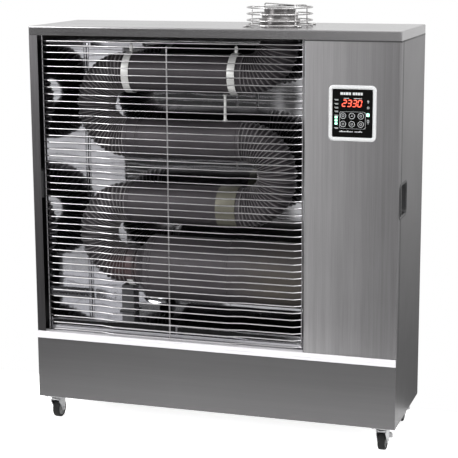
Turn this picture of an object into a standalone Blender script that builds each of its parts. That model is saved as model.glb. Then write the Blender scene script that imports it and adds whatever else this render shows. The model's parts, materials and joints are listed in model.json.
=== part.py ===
"""Oil-fired infrared tube heater on casters, modelled as an assembly of separate solids.

Metres, +Z up. The front faces -Y and the origin is on the floor, under the middle of the heater.
Heights named *_Z are measured from the cabinet's underside, and lift() turns them into world heights.
"""

from math import atan2, cos, pi, radians, sin, tan, tau

import bmesh
import bpy
from mathutils import Vector

# Cabinet
BODY_WIDTH = 0.972
BODY_DEPTH = 0.316
BODY_HEIGHT = 0.990
BODY_BOTTOM = 0.068
SHEET = 0.0012
GAP = 0.0004
SEAM = 0.0016
BEZEL_PROUD = 0.003
HALF_WIDTH = BODY_WIDTH / 2
REAR = (BODY_DEPTH + BEZEL_PROUD) / 2
FRONT = REAR - BODY_DEPTH
MIDDLE = (FRONT + REAR) / 2

# Front
LID_SKIRT = 0.023
LID_BOTTOM_Z = BODY_HEIGHT - LID_SKIRT
STILE_WIDTH = 0.024
TRIM_BOTTOM_Z = 0.163
TRIM_TOP_Z = 0.182
TRIM_PROUD = 0.002
TRIM_LEDGE = 0.022
COLUMN_LEFT = 0.249
COLUMN_WRAP = 0.007
COLUMN_RETURN = 0.018

# Reflector box
REFLECTOR_LEFT = -0.4582
REFLECTOR_REAR = REAR - 0.014
REFLECTOR_FRONT = FRONT + 0.0315
FLOOR_Z = 0.213
CEILING_Z = 0.9495
PARTITION_X = 0.2468

# Guard of bent wires on three rods
WIRE_RADIUS = 0.0015
ROD_RADIUS = 0.002
WIRE_TOP_Z = 0.9405
WIRE_BOTTOM_Z = 0.1885
WIRE_COUNT = 43
EXTRA_WIRE_Z = 0.952
GUARD_CENTRE_X = -0.111
ROD_SPREAD = 0.349
WIRE_BEND = 0.0195
WIRE_STEP_X = 0.157
WIRE_STEP_RUN = 0.012
ROD_BACK = 0.024
WIRE_BACK = 0.0115
WIRE_PROUD_BACK = 0.003

# Serpentine of flue gas tubes
TUBE_RADIUS = 0.0525
TUBE_WALL = 0.0012
BEND_RADIUS = 0.087
TOP_TUBE_Z = 0.864
BEND_STUB = 0.004
LEFT_BEND_X = -0.281
RIGHT_BEND_X = 0.050
FLUE_X = 0.141
ELBOW_TOP_Z = 0.965
CHAMBER_RADIUS = 0.0865
CHAMBER_LEFT = -0.245
CHAMBER_CONE = 0.038
CHAMBER_RIGHT = 0.262
TUBE_PITCH = 2 * BEND_RADIUS
CHAMBER_Z = TOP_TUBE_Z - 3 * TUBE_PITCH

# Flue outlet and its wire cage
FLUE_BORE = 0.037
FLUE_TOP_Z = 1.036
CAGE_RADIUS = 0.0825
CAGE_WIRE = 0.0017
CAGE_RINGS_Z = (0.9935, 1.005, 1.021, 1.037)
CAGE_TOP_Z = 1.0425
CAGE_FOOT = 0.026

# Handles
HANDLE_Y = FRONT + 0.0515
HANDLE_Z = 0.5765
HANDLE_LENGTH = 0.085
HANDLE_HEIGHT = 0.080
HANDLE_DEPTH = 0.022
HANDLE_FLANGE = 0.005
HANDLE_PROUD = 0.001

# Control panel
PANEL_X = 0.3685
PANEL_Z = 0.7915
BEZEL_SIZE = (0.119, 0.136)
FACE_SIZE = (0.0985, 0.1165)
BUTTON_RADIUS = 0.0083
BUTTON_COLUMNS_X = (0.3455, 0.3675, 0.3895)
BUTTON_ROWS_Z = (0.7855, 0.7655)

# Burner
BURNER_LEFT = 0.2626
HOUSING_RADIUS = 0.085
HOUSING_RIGHT = 0.345
BLOWER_RADIUS = 0.058
BLOWER_LEFT = 0.300
BLOWER_RIGHT = 0.333
BLOWER_BLADES = 12
SHAFT_RADIUS = 0.004
MOTOR_RADIUS = 0.042
MOTOR_LEFT = 0.352
MOTOR_RIGHT = 0.432

# Fuel system
TANK_LEFT = -0.455
TANK_RIGHT = 0.215
TANK_FRONT = FRONT + 0.016
TANK_REAR = 0.120
TANK_BOTTOM_Z = 0.012
TANK_TOP_Z = 0.148
TANK_WALL = 0.0015
NECK_X = -0.400
NECK_Y = 0.095
NECK_LENGTH = 0.045
NECK_TILT = radians(45)
CAP_RADIUS = 0.025
CAP_HEIGHT = 0.014
PUMP_X = 0.325
PUMP_Y = 0.040
LINE_RADIUS = 0.003
LINE_Z = 0.030

# Casters
CASTER_X = 0.448
CASTER_FRONT_Y = -0.128
CASTER_REAR_Y = 0.105
CASTER_TRAIL = 0.014
WHEEL_RADIUS = 0.025
WHEEL_WIDTH = 0.020
AXLE_RADIUS = 0.004
PAD_LENGTH = 0.052
PAD_THICKNESS = 0.0025
RACE_RADIUS = 0.016
RACE_HEIGHT = 0.0055
LEG_INSIDE = 0.0115
LEG_THICKNESS = 0.002
CROWN_TOP = 0.0597
CROWN_BOTTOM = 0.0525
LEVER_PIVOT_Y = 0.036
LEVER_PIVOT_Z = 0.050
LEVER_WIDTH = 0.038

PARTS = bpy.data.collections.new("tube_heater")
CUTTERS = bpy.data.collections.new("cutters")


def clear_scene():
    """Removes whatever the open scene holds, and links the two collections."""
    for old in list(bpy.data.objects):
        bpy.data.objects.remove(old)
    bpy.context.scene.collection.children.link(PARTS)
    bpy.context.scene.collection.children.link(CUTTERS)


def lift(height):
    """World height of a height measured from the cabinet's underside."""
    return BODY_BOTTOM + height


def finish(name, colour, roughness, metallic=0.0):
    """A Principled material, made once for each name."""
    found = bpy.data.materials.get(name)
    if found:
        return found
    made = bpy.data.materials.new(name)
    made.use_nodes = True
    shader = made.node_tree.nodes["Principled BSDF"]
    shader.inputs["Base Color"].default_value = (*colour, 1.0)
    shader.inputs["Roughness"].default_value = roughness
    shader.inputs["Metallic"].default_value = metallic
    made.diffuse_color = (*colour, 1.0)
    return made


def brushed_panel():
    return finish("brushed_grey_panel", (0.18, 0.175, 0.18), 0.38, 0.8)


def skirt_panel():
    return finish("satin_grey_panel", (0.14, 0.135, 0.14), 0.5, 0.6)


def bright_trim():
    return finish("satin_silver", (0.75, 0.75, 0.77), 0.3, 0.9)


def polished_sheet():
    return finish("polished_steel_sheet", (0.8, 0.8, 0.82), 0.08, 1.0)


def hot_tube():
    return finish("heat_darkened_tube", (0.06, 0.055, 0.055), 0.6, 0.5)


def wire_steel():
    return finish("bright_wire", (0.8, 0.8, 0.8), 0.25, 1.0)


def zinc():
    return finish("zinc_plate", (0.6, 0.6, 0.62), 0.35, 1.0)


def black_rubber():
    return finish("black_rubber", (0.02, 0.02, 0.02), 0.7)


def black_plastic():
    return finish("black_plastic", (0.02, 0.02, 0.022), 0.4)


def black_gloss():
    return finish("black_gloss", (0.01, 0.01, 0.012), 0.08)


def silver_plastic():
    return finish("silver_plastic", (0.75, 0.76, 0.78), 0.3, 0.3)


def painted_steel():
    return finish("painted_steel", (0.1, 0.1, 0.11), 0.5, 0.3)


def brass():
    return finish("brass", (0.7, 0.5, 0.22), 0.3, 1.0)


def board_green():
    return finish("board_green", (0.03, 0.16, 0.07), 0.5)


def place(name, mesh, location, look):
    """An object for this mesh, in the collection of parts."""
    made = bpy.data.objects.new(name, mesh)
    made.location = location
    mesh.materials.append(look)
    PARTS.objects.link(made)
    return made


def mesh_of(name, work):
    """A mesh made from a bmesh, shaded smooth with its creases kept sharp."""
    mesh = bpy.data.meshes.new(name)
    work.to_mesh(mesh)
    work.free()
    mesh.shade_smooth()
    mesh.set_sharp_from_angle(angle=radians(35))
    return mesh


def box(name, low, high, look, bevel=0.0):
    """A box between two corners, with its edges rounded if bevel is given."""
    low = Vector(low)
    high = Vector(high)
    work = bmesh.new()
    bmesh.ops.create_cube(work, size=1.0)
    bmesh.ops.scale(work, vec=high - low, verts=work.verts)
    made = place(name, mesh_of(name, work), (low + high) / 2, look)
    if bevel:
        rounding = made.modifiers.new("rounding", "BEVEL")
        rounding.width = bevel
        rounding.segments = 2
    return made


def rod(name, start, end, radius, look, sides=16, cone_radius=None):
    """A cylinder, or a cone, between two points."""
    start = Vector(start)
    end = Vector(end)
    work = bmesh.new()
    bmesh.ops.create_cone(
        work,
        cap_ends=True,
        segments=sides,
        radius1=radius,
        radius2=radius if cone_radius is None else cone_radius,
        depth=(end - start).length,
    )
    made = place(name, mesh_of(name, work), (start + end) / 2, look)
    made.rotation_euler = (end - start).to_track_quat("Z", "Y").to_euler()
    return made


def turned(name, profile, location, look, direction=(0, 0, 1), steps=32):
    """A profile of (radius, height) points turned about direction. It runs down its outer side."""
    work = bmesh.new()
    points = [work.verts.new((radius, 0, height)) for radius, height in profile]
    for first, second in zip(points, points[1:]):
        work.edges.new((first, second))
    if profile[0][0] > 0:
        work.edges.new((points[-1], points[0]))
    mesh = bpy.data.meshes.new(name)
    work.to_mesh(mesh)
    work.free()
    made = place(name, mesh, location, look)
    screw = made.modifiers.new("turn", "SCREW")
    screw.steps = steps
    screw.render_steps = steps
    screw.use_merge_vertices = True
    screw.merge_threshold = 0.00001
    made.rotation_euler = Vector(direction).to_track_quat("Z", "Y").to_euler()
    settle(made)
    return made


def settle(obj):
    """Swaps the object's modifiers, or its curve, for the plain mesh that they make."""
    graph = bpy.context.evaluated_depsgraph_get()
    mesh = bpy.data.meshes.new_from_object(obj.evaluated_get(graph))
    work = bmesh.new()
    work.from_mesh(mesh)
    bmesh.ops.remove_doubles(work, verts=work.verts, dist=0.000001)
    bmesh.ops.recalc_face_normals(work, faces=work.faces)
    work.to_mesh(mesh)
    work.free()
    mesh.shade_smooth()
    mesh.set_sharp_from_angle(angle=radians(35))
    if obj.type == "MESH":
        obj.modifiers.clear()
        obj.data = mesh
        return obj
    name = obj.name
    world = obj.matrix_world.copy()
    bpy.data.objects.remove(obj)
    made = bpy.data.objects.new(name, mesh)
    made.matrix_world = world
    PARTS.objects.link(made)
    return made


def joined(first, *others):
    """One solid made of several that overlap. The others are used up."""
    bpy.context.view_layer.update()
    for other in others:
        union = first.modifiers.new("union", "BOOLEAN")
        union.operation = "UNION"
        union.object = other
    made = settle(first)
    for other in others:
        bpy.data.objects.remove(other)
    return made


def cut(obj, *cutters):
    """Takes the cutters out of the object, and keeps them as hidden helpers."""
    for cutter in cutters:
        hole = obj.modifiers.new("cut", "BOOLEAN")
        hole.operation = "DIFFERENCE"
        hole.object = cutter
        cutter.hide_render = True
        cutter.display_type = "WIRE"
        if cutter.name in PARTS.objects:
            PARTS.objects.unlink(cutter)
            CUTTERS.objects.link(cutter)
    return obj


def arc(centre, radius, start, end, steps):
    """Points of an arc in a plane, from angle start to angle end."""
    return [
        (
            centre[0] + radius * cos(start + (end - start) * step / steps),
            centre[1] + radius * sin(start + (end - start) * step / steps),
        )
        for step in range(steps + 1)
    ]


def rounded(corners, radii, steps=3):
    """An open path whose inner corners are arcs of the radii given."""
    path = [corners[0]]
    for before, corner, after, radius in zip(corners, corners[1:], corners[2:], radii):
        inward = (Vector(before) - Vector(corner)).normalized()
        outward = (Vector(after) - Vector(corner)).normalized()
        half = inward.angle(outward) / 2
        centre = Vector(corner) + (inward + outward).normalized() * radius / sin(half)
        first = Vector(corner) + inward * radius / tan(half) - centre
        last = Vector(corner) + outward * radius / tan(half) - centre
        start = atan2(first.y, first.x)
        sweep = (atan2(last.y, last.x) - start + pi) % tau - pi
        path += arc(centre, radius, start, start + sweep, steps)
    return path + [corners[-1]]


def folded_sheet(name, corners, radii, bottom_z, top_z, look):
    """Sheet metal folded along a plan path that runs anticlockwise, with its thickness on the inner side."""
    path = rounded(corners, radii)
    work = bmesh.new()
    lower = [work.verts.new((x, y, 0)) for x, y in path]
    edges = [work.edges.new(pair) for pair in zip(lower, lower[1:])]
    raised = bmesh.ops.extrude_edge_only(work, edges=edges)["geom"]
    upper = [item for item in raised if isinstance(item, bmesh.types.BMVert)]
    bmesh.ops.translate(work, vec=(0, 0, top_z - bottom_z), verts=upper)
    work.normal_update()
    work.faces.ensure_lookup_table()
    first_fold = [vert for vert in lower if vert in work.faces[0].verts]
    along = first_fold[1].co - first_fold[0].co
    if work.faces[0].normal.dot(along.cross(Vector((0, 0, 1)))) < 0:
        bmesh.ops.reverse_faces(work, faces=work.faces)
    made = place(name, mesh_of(name, work), (0, 0, lift(bottom_z)), look)
    thicken(made, SHEET)
    return made


def thicken(obj, thickness):
    """Gives an open surface a wall on the side away from its normals."""
    wall = obj.modifiers.new("wall", "SOLIDIFY")
    wall.thickness = thickness
    wall.offset = -1


def tube(name, points, radius, look, wall=None, sides=4):
    """A round tube or wire along a route: hollow when it has a wall, solid when not."""
    curve = bpy.data.curves.new(name, "CURVE")
    curve.dimensions = "3D"
    curve.bevel_depth = radius
    curve.bevel_resolution = sides
    curve.use_fill_caps = wall is None
    routes = [points] if isinstance(points[0][0], float) else points
    for route in routes:
        spline = curve.splines.new("POLY")
        spline.points.add(len(route) - 1)
        for point, place_ in zip(spline.points, route):
            point.co = (*place_, 1.0)
    curve.materials.append(look)
    made = bpy.data.objects.new(name, curve)
    PARTS.objects.link(made)
    bpy.context.view_layer.update()
    made = settle(made)
    if wall:
        thicken(made, wall)
    return made


def plate(name, outlines, thickness, centre, look, rotation=(0, 0, 0)):
    """A flat plate cut to closed outlines: the first is its edge, and any others are its holes."""
    curve = bpy.data.curves.new(name, "CURVE")
    curve.dimensions = "2D"
    curve.fill_mode = "BOTH"
    curve.extrude = thickness / 2
    for outline in outlines:
        spline = curve.splines.new("POLY")
        spline.points.add(len(outline) - 1)
        for point, (x, y) in zip(spline.points, outline):
            point.co = (x, y, 0.0, 1.0)
        spline.use_cyclic_u = True
    curve.materials.append(look)
    made = bpy.data.objects.new(name, curve)
    made.location = centre
    made.rotation_euler = rotation
    PARTS.objects.link(made)
    bpy.context.view_layer.update()
    return settle(made)


def rounded_rectangle(width, height, radius, steps=4):
    """The closed outline of a rectangle with round corners, about its middle."""
    outline = []
    for turn, (right, up) in enumerate(((1, 1), (-1, 1), (-1, -1), (1, -1))):
        centre = (right * (width / 2 - radius), up * (height / 2 - radius))
        outline += arc(centre, radius, turn * pi / 2, (turn + 1) * pi / 2, steps)
    return outline


def circle(centre, radius, steps=20):
    return arc(centre, radius, 0, tau * (steps - 1) / steps, steps - 1)


# Cabinet


def make_lid():
    low = Vector((-HALF_WIDTH, FRONT, lift(LID_BOTTOM_Z)))
    high = Vector((HALF_WIDTH, REAR, lift(BODY_HEIGHT)))
    work = bmesh.new()
    bmesh.ops.create_cube(work, size=1.0)
    underside = [face for face in work.faces if face.normal.z < -0.5]
    bmesh.ops.delete(work, geom=underside, context="FACES_ONLY")
    bmesh.ops.scale(work, vec=high - low, verts=work.verts)
    lid = place("lid", mesh_of("lid", work), (low + high) / 2, brushed_panel())
    rounding = lid.modifiers.new("rounding", "BEVEL")
    rounding.width = 0.003
    rounding.segments = 2
    thicken(lid, SHEET)
    hole_low = (FLUE_X, MIDDLE, lift(BODY_HEIGHT - 0.01))
    hole_high = (FLUE_X, MIDDLE, lift(BODY_HEIGHT + 0.01))
    cut(lid, rod("lid_flue_hole", hole_low, hole_high, 0.0455, brushed_panel(), 32))


def handle_hole(name, side):
    """The cutter for a handle cup's hole in a side panel."""
    x = side * HALF_WIDTH
    low = (x - 0.005, HANDLE_Y - HANDLE_LENGTH / 2 - GAP, lift(HANDLE_Z - HANDLE_HEIGHT / 2) - GAP)
    high = (x + 0.005, HANDLE_Y + HANDLE_LENGTH / 2 + GAP, lift(HANDLE_Z + HANDLE_HEIGHT / 2) + GAP)
    return box(name, low, high, brushed_panel())


def make_side_panels():
    rear = REAR - SEAM
    left = folded_sheet(
        "left_side_panel",
        [(-0.470, rear), (-HALF_WIDTH, rear), (-HALF_WIDTH, FRONT), (STILE_WIDTH - HALF_WIDTH, FRONT)],
        (0.002, 0.003),
        0.0,
        LID_BOTTOM_Z - GAP,
        brushed_panel(),
    )
    below_low = (-HALF_WIDTH - 0.01, FRONT - 0.01, lift(-0.01))
    below_high = (STILE_WIDTH - HALF_WIDTH + 0.01, FRONT + SEAM, lift(TRIM_TOP_Z + GAP))
    cut(
        left,
        box("left_panel_notch", below_low, below_high, brushed_panel()),
        handle_hole("left_handle_hole", -1),
    )
    right = folded_sheet(
        "right_side_panel",
        [(HALF_WIDTH, FRONT + SEAM), (HALF_WIDTH, rear), (0.470, rear)],
        (0.002,),
        0.0,
        LID_BOTTOM_Z - GAP,
        brushed_panel(),
    )
    above_low = (HALF_WIDTH - 0.01, FRONT - 0.01, lift(TRIM_TOP_Z + GAP))
    above_high = (HALF_WIDTH + 0.01, FRONT + COLUMN_WRAP + GAP, lift(BODY_HEIGHT))
    cut(
        right,
        box("right_panel_notch", above_low, above_high, brushed_panel()),
        handle_hole("right_handle_hole", 1),
    )


def make_rear_panel():
    panel = box(
        "rear_panel",
        (-HALF_WIDTH + GAP, REAR - SHEET, lift(0.002)),
        (HALF_WIDTH - GAP, REAR, lift(LID_BOTTOM_Z - 2 * GAP)),
        brushed_panel(),
    )
    look = brushed_panel()
    window_low = (NECK_X - 0.045, REAR - 0.01, lift(0.135))
    window_high = (NECK_X + 0.045, REAR + 0.01, lift(0.210))
    slots = [box("filler_window", window_low, window_high, look)]
    for row in range(8):
        z = lift(0.280 + 0.016 * row)
        slots.append(box(f"air_slot_{row}", (0.30, REAR - 0.01, z), (0.43, REAR + 0.01, z + 0.0035), look))
    gland = rod("gland_hole", (0.400, REAR - 0.01, lift(0.090)), (0.400, REAR + 0.01, lift(0.090)), 0.0125, look)
    cut(panel, *slots, gland)


def make_front():
    box(
        "lower_front_panel",
        (-HALF_WIDTH, FRONT, lift(0.0)),
        (HALF_WIDTH, FRONT + SHEET, lift(TRIM_BOTTOM_Z - GAP)),
        skirt_panel(),
    )
    face_low = (-HALF_WIDTH, FRONT - TRIM_PROUD, lift(TRIM_BOTTOM_Z))
    face_high = (HALF_WIDTH, FRONT + SHEET, lift(TRIM_TOP_Z))
    ledge_low = (-HALF_WIDTH + 2 * SEAM, FRONT, lift(TRIM_BOTTOM_Z))
    ledge_high = (PARTITION_X - SEAM, FRONT + TRIM_LEDGE, lift(TRIM_TOP_Z))
    bar = joined(
        box("trim_bar", face_low, face_high, bright_trim()),
        box("trim_ledge", ledge_low, ledge_high, bright_trim()),
    )
    rounding = bar.modifiers.new("rounding", "BEVEL")
    rounding.width = 0.0006
    rounding.segments = 1
    rounding.limit_method = "ANGLE"
    column = folded_sheet(
        "control_column_panel",
        [
            (COLUMN_LEFT, FRONT + COLUMN_RETURN),
            (COLUMN_LEFT, FRONT),
            (HALF_WIDTH, FRONT),
            (HALF_WIDTH, FRONT + COLUMN_WRAP),
        ],
        (0.002, 0.0055),
        TRIM_TOP_Z + GAP,
        LID_BOTTOM_Z - GAP,
        brushed_panel(),
    )
    window_low = (PANEL_X - 0.0535, FRONT - 0.01, lift(PANEL_Z - 0.0625))
    window_high = (PANEL_X + 0.0535, FRONT + 0.01, lift(PANEL_Z + 0.0625))
    cut(column, box("panel_window", window_low, window_high, brushed_panel()))


def caster_places():
    """Each caster's name, swivel position and whether it has a brake."""
    for row, y in (("front", CASTER_FRONT_Y), ("rear", CASTER_REAR_Y)):
        for side, sign in (("left", -1), ("right", 1)):
            yield f"{row}_{side}", sign * CASTER_X, y, side == "right"


def make_base_plate():
    """The floor of the cabinet, with the four caster plates and their upper ball races welded under it."""
    pieces = []
    for name, x, y, _ in caster_places():
        half = PAD_LENGTH / 2
        low = (x - half, y - half, BODY_BOTTOM - PAD_THICKNESS)
        high = (x + half, y + half, BODY_BOTTOM + 0.001)
        pieces.append(box(f"{name}_pad", low, high, zinc()))
        race_bottom = (x, y, BODY_BOTTOM - PAD_THICKNESS - RACE_HEIGHT)
        race_top = (x, y, BODY_BOTTOM - PAD_THICKNESS / 2)
        pieces.append(rod(f"{name}_race", race_bottom, race_top, RACE_RADIUS, zinc(), 20))
    low = (-HALF_WIDTH + 2 * SEAM, FRONT + SEAM, lift(0.0005))
    high = (HALF_WIDTH - 2 * SEAM, REAR - 2 * SEAM, lift(0.002))
    joined(box("base_plate", low, high, painted_steel()), *pieces)


def make_handle_cup(name, side):
    """A moulded cup with a flange on the outside of the panel."""
    y = HANDLE_Y
    z = lift(HANDLE_Z)
    skin = HALF_WIDTH
    inner = skin - HANDLE_DEPTH
    flange = plate(
        name,
        [rounded_rectangle(HANDLE_LENGTH + 2 * HANDLE_FLANGE, HANDLE_HEIGHT + 2 * HANDLE_FLANGE, 0.012)],
        HANDLE_PROUD - GAP / 2,
        (side * (skin + HANDLE_PROUD / 2 + GAP / 4), y, z),
        black_plastic(),
        (pi / 2, 0, pi / 2),
    )
    long = HANDLE_LENGTH / 2 - GAP
    tall = HANDLE_HEIGHT / 2 - GAP
    xs = sorted((side * inner, side * (skin + HANDLE_PROUD / 2)))
    body = box(f"{name}_body", (xs[0], y - long, z - tall), (xs[1], y + long, z + tall), black_plastic())
    made = joined(flange, body)
    wall = 0.002
    xs = sorted((side * (inner + wall), side * (skin + 0.01)))
    hollow_low = (xs[0], y - long + wall, z - tall + wall)
    hollow_high = (xs[1], y + long - wall, z + tall - wall)
    cut(made, box(f"{name}_hollow", hollow_low, hollow_high, black_plastic()))


# Reflector box


def make_reflectors():
    look = polished_sheet()
    right = PARTITION_X - GAP
    box(
        "left_reflector",
        (REFLECTOR_LEFT, REFLECTOR_FRONT, lift(FLOOR_Z + SEAM)),
        (REFLECTOR_LEFT + SHEET, REFLECTOR_REAR - GAP, lift(CEILING_Z - GAP)),
        look,
    )
    box(
        "back_reflector",
        (REFLECTOR_LEFT, REFLECTOR_REAR, lift(FLOOR_Z + SEAM)),
        (right, REFLECTOR_REAR + SHEET, lift(CEILING_Z - GAP)),
        look,
    )
    floor = box(
        "floor_reflector",
        (REFLECTOR_LEFT, REFLECTOR_FRONT, lift(FLOOR_Z)),
        (right, REFLECTOR_REAR + SHEET, lift(FLOOR_Z + SHEET)),
        look,
    )
    apron_low = (REFLECTOR_LEFT + GAP, REFLECTOR_FRONT - SHEET / 2, lift(TANK_TOP_Z + 0.007))
    apron_high = (right - GAP, REFLECTOR_FRONT + SHEET / 2, lift(FLOOR_Z + SHEET / 2))
    joined(floor, box("floor_apron", apron_low, apron_high, look))
    ceiling = box(
        "ceiling_shield",
        (REFLECTOR_LEFT, REFLECTOR_FRONT, lift(CEILING_Z)),
        (right, REFLECTOR_REAR + SHEET, lift(CEILING_Z + SHEET)),
        look,
    )
    hole = (TUBE_RADIUS + 0.002, (FLUE_X, MIDDLE, lift(CEILING_Z - 0.01)), (FLUE_X, MIDDLE, lift(CEILING_Z + 0.01)))
    cut(ceiling, rod("ceiling_flue_hole", hole[1], hole[2], hole[0], look, 24))
    partition = box(
        "partition",
        (PARTITION_X, FRONT + 2 * SEAM, lift(0.0025)),
        (PARTITION_X + SHEET, REAR - 2 * SEAM, lift(LID_BOTTOM_Z - 0.0025)),
        look,
    )
    left = PARTITION_X - 0.01
    right = PARTITION_X + 0.01
    chamber_hole = rod(
        "chamber_hole",
        (left, MIDDLE, lift(CHAMBER_Z)),
        (right, MIDDLE, lift(CHAMBER_Z)),
        CHAMBER_RADIUS + 0.0015,
        look,
        32,
    )
    line_hole = rod("line_hole", (left, PUMP_Y, lift(LINE_Z)), (right, PUMP_Y, lift(LINE_Z)), 0.006, look, 12)
    cut(partition, chamber_hole, line_hole)


def make_guard():
    """Horizontal wires with cranked ends and a proud middle, welded to three upright rods."""
    look = wire_steel()
    rod_y = FRONT + ROD_BACK
    wire_y = FRONT + WIRE_BACK
    proud_y = FRONT + WIRE_PROUD_BACK
    half_plan = (
        (ROD_SPREAD, rod_y),
        (ROD_SPREAD - WIRE_BEND, wire_y),
        (WIRE_STEP_X + WIRE_STEP_RUN, wire_y),
        (WIRE_STEP_X, proud_y),
    )
    plan = [(-x, y) for x, y in half_plan] + [(x, y) for x, y in reversed(half_plan)]
    pitch = (WIRE_TOP_Z - WIRE_BOTTOM_Z) / (WIRE_COUNT - 1)
    heights = [WIRE_TOP_Z - pitch * row for row in range(WIRE_COUNT)] + [EXTRA_WIRE_Z]
    wires = [[(GUARD_CENTRE_X + x, y, lift(z)) for x, y in plan] for z in heights]
    bottom = lift(TRIM_TOP_Z + SEAM)
    middle_y = proud_y + ROD_RADIUS + WIRE_RADIUS * 0.4
    rods = [
        [(GUARD_CENTRE_X - ROD_SPREAD, rod_y, bottom), (GUARD_CENTRE_X - ROD_SPREAD, rod_y, lift(0.965))],
        [(GUARD_CENTRE_X + ROD_SPREAD, rod_y, bottom), (GUARD_CENTRE_X + ROD_SPREAD, rod_y, lift(0.965))],
        [(GUARD_CENTRE_X, middle_y, bottom), (GUARD_CENTRE_X, middle_y, lift(WIRE_TOP_Z + 0.003))],
    ]
    frame = tube("guard_grille", rods, ROD_RADIUS, look, sides=0)
    joined(frame, tube("guard_wires", wires, WIRE_RADIUS, look, sides=0))


# Tubes


def bend_route(centre, radius, start, end, steps):
    """Corners of the straight runs that touch an arc, so that the route leaves both its ends squarely."""
    step = (end - start) / steps
    corners = arc(centre, radius / cos(step / 2), start + step / 2, end - step / 2, steps - 1)
    return [arc(centre, radius, start, end, 1)[0], *corners, arc(centre, radius, start, end, 1)[1]]


def half_turn(x, low_z, side, lower_stub=BEND_STUB, steps=8):
    """Centre line of a return bend with a short straight at each end, from its lower end to its upper end."""
    middle = (x, low_z + BEND_RADIUS)
    curve = bend_route(middle, BEND_RADIUS, -pi / 2, -pi / 2 + side * pi, steps)
    lower = (x - side * lower_stub, low_z)
    upper = (x - side * BEND_STUB, low_z + 2 * BEND_RADIUS)
    return [(u, MIDDLE, lift(z)) for u, z in (lower, *curve[1:-1], upper)]


def make_tubes():
    look = hot_tube()
    second = TOP_TUBE_Z - TUBE_PITCH
    third = TOP_TUBE_Z - 2 * TUBE_PITCH
    entry = CHAMBER_LEFT - GAP - LEFT_BEND_X
    tube("lower_left_bend", half_turn(LEFT_BEND_X, CHAMBER_Z, -1, entry), TUBE_RADIUS, look, TUBE_WALL)
    tube("right_bend", half_turn(RIGHT_BEND_X, third, 1), TUBE_RADIUS, look, TUBE_WALL)
    tube("upper_left_bend", half_turn(LEFT_BEND_X, second, -1), TUBE_RADIUS, look, TUBE_WALL)
    elbow_x = FLUE_X - BEND_RADIUS
    for name, z, right in (
        ("third_tube", third, RIGHT_BEND_X),
        ("second_tube", second, RIGHT_BEND_X),
        ("top_tube", TOP_TUBE_Z, elbow_x),
    ):
        inset = BEND_STUB + GAP
        ends = [(LEFT_BEND_X + inset, MIDDLE, lift(z)), (right - inset, MIDDLE, lift(z))]
        tube(name, ends, TUBE_RADIUS, look, TUBE_WALL)
    turn = bend_route((elbow_x, TOP_TUBE_Z + BEND_RADIUS), BEND_RADIUS, -pi / 2, 0, 4)
    route = [(elbow_x - BEND_STUB, TOP_TUBE_Z), *turn[1:-1], (FLUE_X, ELBOW_TOP_Z)]
    elbow = [(x, MIDDLE, lift(z)) for x, z in route]
    tube("flue_elbow", elbow, TUBE_RADIUS, look, TUBE_WALL)


def make_combustion_chamber():
    """A hollow drum that narrows to the first bend, with a flange on the burner's side."""
    length = CHAMBER_RIGHT - CHAMBER_LEFT
    flange = CHAMBER_RADIUS + 0.012
    profile = [
        (flange, length),
        (flange, length - 0.003),
        (CHAMBER_RADIUS, length - 0.003),
        (CHAMBER_RADIUS, CHAMBER_CONE),
        (TUBE_RADIUS, 0.0),
        (TUBE_RADIUS - TUBE_WALL, 0.0),
        (CHAMBER_RADIUS - TUBE_WALL, CHAMBER_CONE),
        (CHAMBER_RADIUS - TUBE_WALL, length),
    ]
    turned("combustion_chamber", profile, (CHAMBER_LEFT, MIDDLE, lift(CHAMBER_Z)), hot_tube(), (1, 0, 0), 24)


def strap_ring(name, x, z, width):
    """A band round a tube, 1 mm clear of it."""
    inside = TUBE_RADIUS + 0.0010
    outside = inside + 0.0015
    profile = [(outside, width), (outside, 0), (inside, 0), (inside, width)]
    return turned(name, profile, (x - width / 2, MIDDLE, lift(z)), bright_trim(), (1, 0, 0), 24)


def make_tube_holders():
    for name, x in (("left_hanger_strap", LEFT_BEND_X + 0.016), ("right_hanger_strap", 0.025)):
        top = lift(TOP_TUBE_Z + TUBE_RADIUS)
        hanger = rod(f"{name}_rod", (x, MIDDLE, top + 0.0012), (x, MIDDLE, lift(CEILING_Z - GAP)), 0.0025, zinc(), 8)
        joined(strap_ring(name, x, TOP_TUBE_Z, 0.020), hanger)
    strut_low = (-0.006, MIDDLE, lift(TOP_TUBE_Z - TUBE_PITCH + TUBE_RADIUS) + SEAM / 2)
    strut_high = (-0.006, MIDDLE, lift(TOP_TUBE_Z - TUBE_RADIUS) - SEAM / 2)
    rod("tube_strut", strut_low, strut_high, 0.004, bright_trim(), 12)
    middle_x = (LEFT_BEND_X + CHAMBER_LEFT) / 2
    post_low = (middle_x - 0.035, MIDDLE - 0.020, lift(FLOOR_Z + SEAM))
    post_high = (middle_x + 0.001, MIDDLE + 0.020, lift(CHAMBER_Z - TUBE_RADIUS) - 0.0015)
    strap = strap_ring("chamber_support_strap", middle_x, CHAMBER_Z, 0.018)
    joined(box("chamber_support", post_low, post_high, painted_steel()), strap)


# Flue


def make_flue_collar():
    top = FLUE_TOP_Z - BODY_HEIGHT
    profile = [
        (0.0395, top),
        (0.0402, top - 0.007),
        (0.0402, 0.032),
        (0.0440, 0.031),
        (0.0478, 0.0255),
        (0.0478, 0.0160),
        (0.0505, 0.0150),
        (0.0525, 0.0115),
        (0.0525, 0.0055),
        (0.0545, 0.0045),
        (0.0545, GAP),
        (0.0440, GAP),
        (0.0440, -0.030),
        (FLUE_BORE, -0.030),
        (FLUE_BORE, top),
    ]
    turned("flue_collar", profile, (FLUE_X, MIDDLE, lift(BODY_HEIGHT)), zinc(), steps=24)


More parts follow.
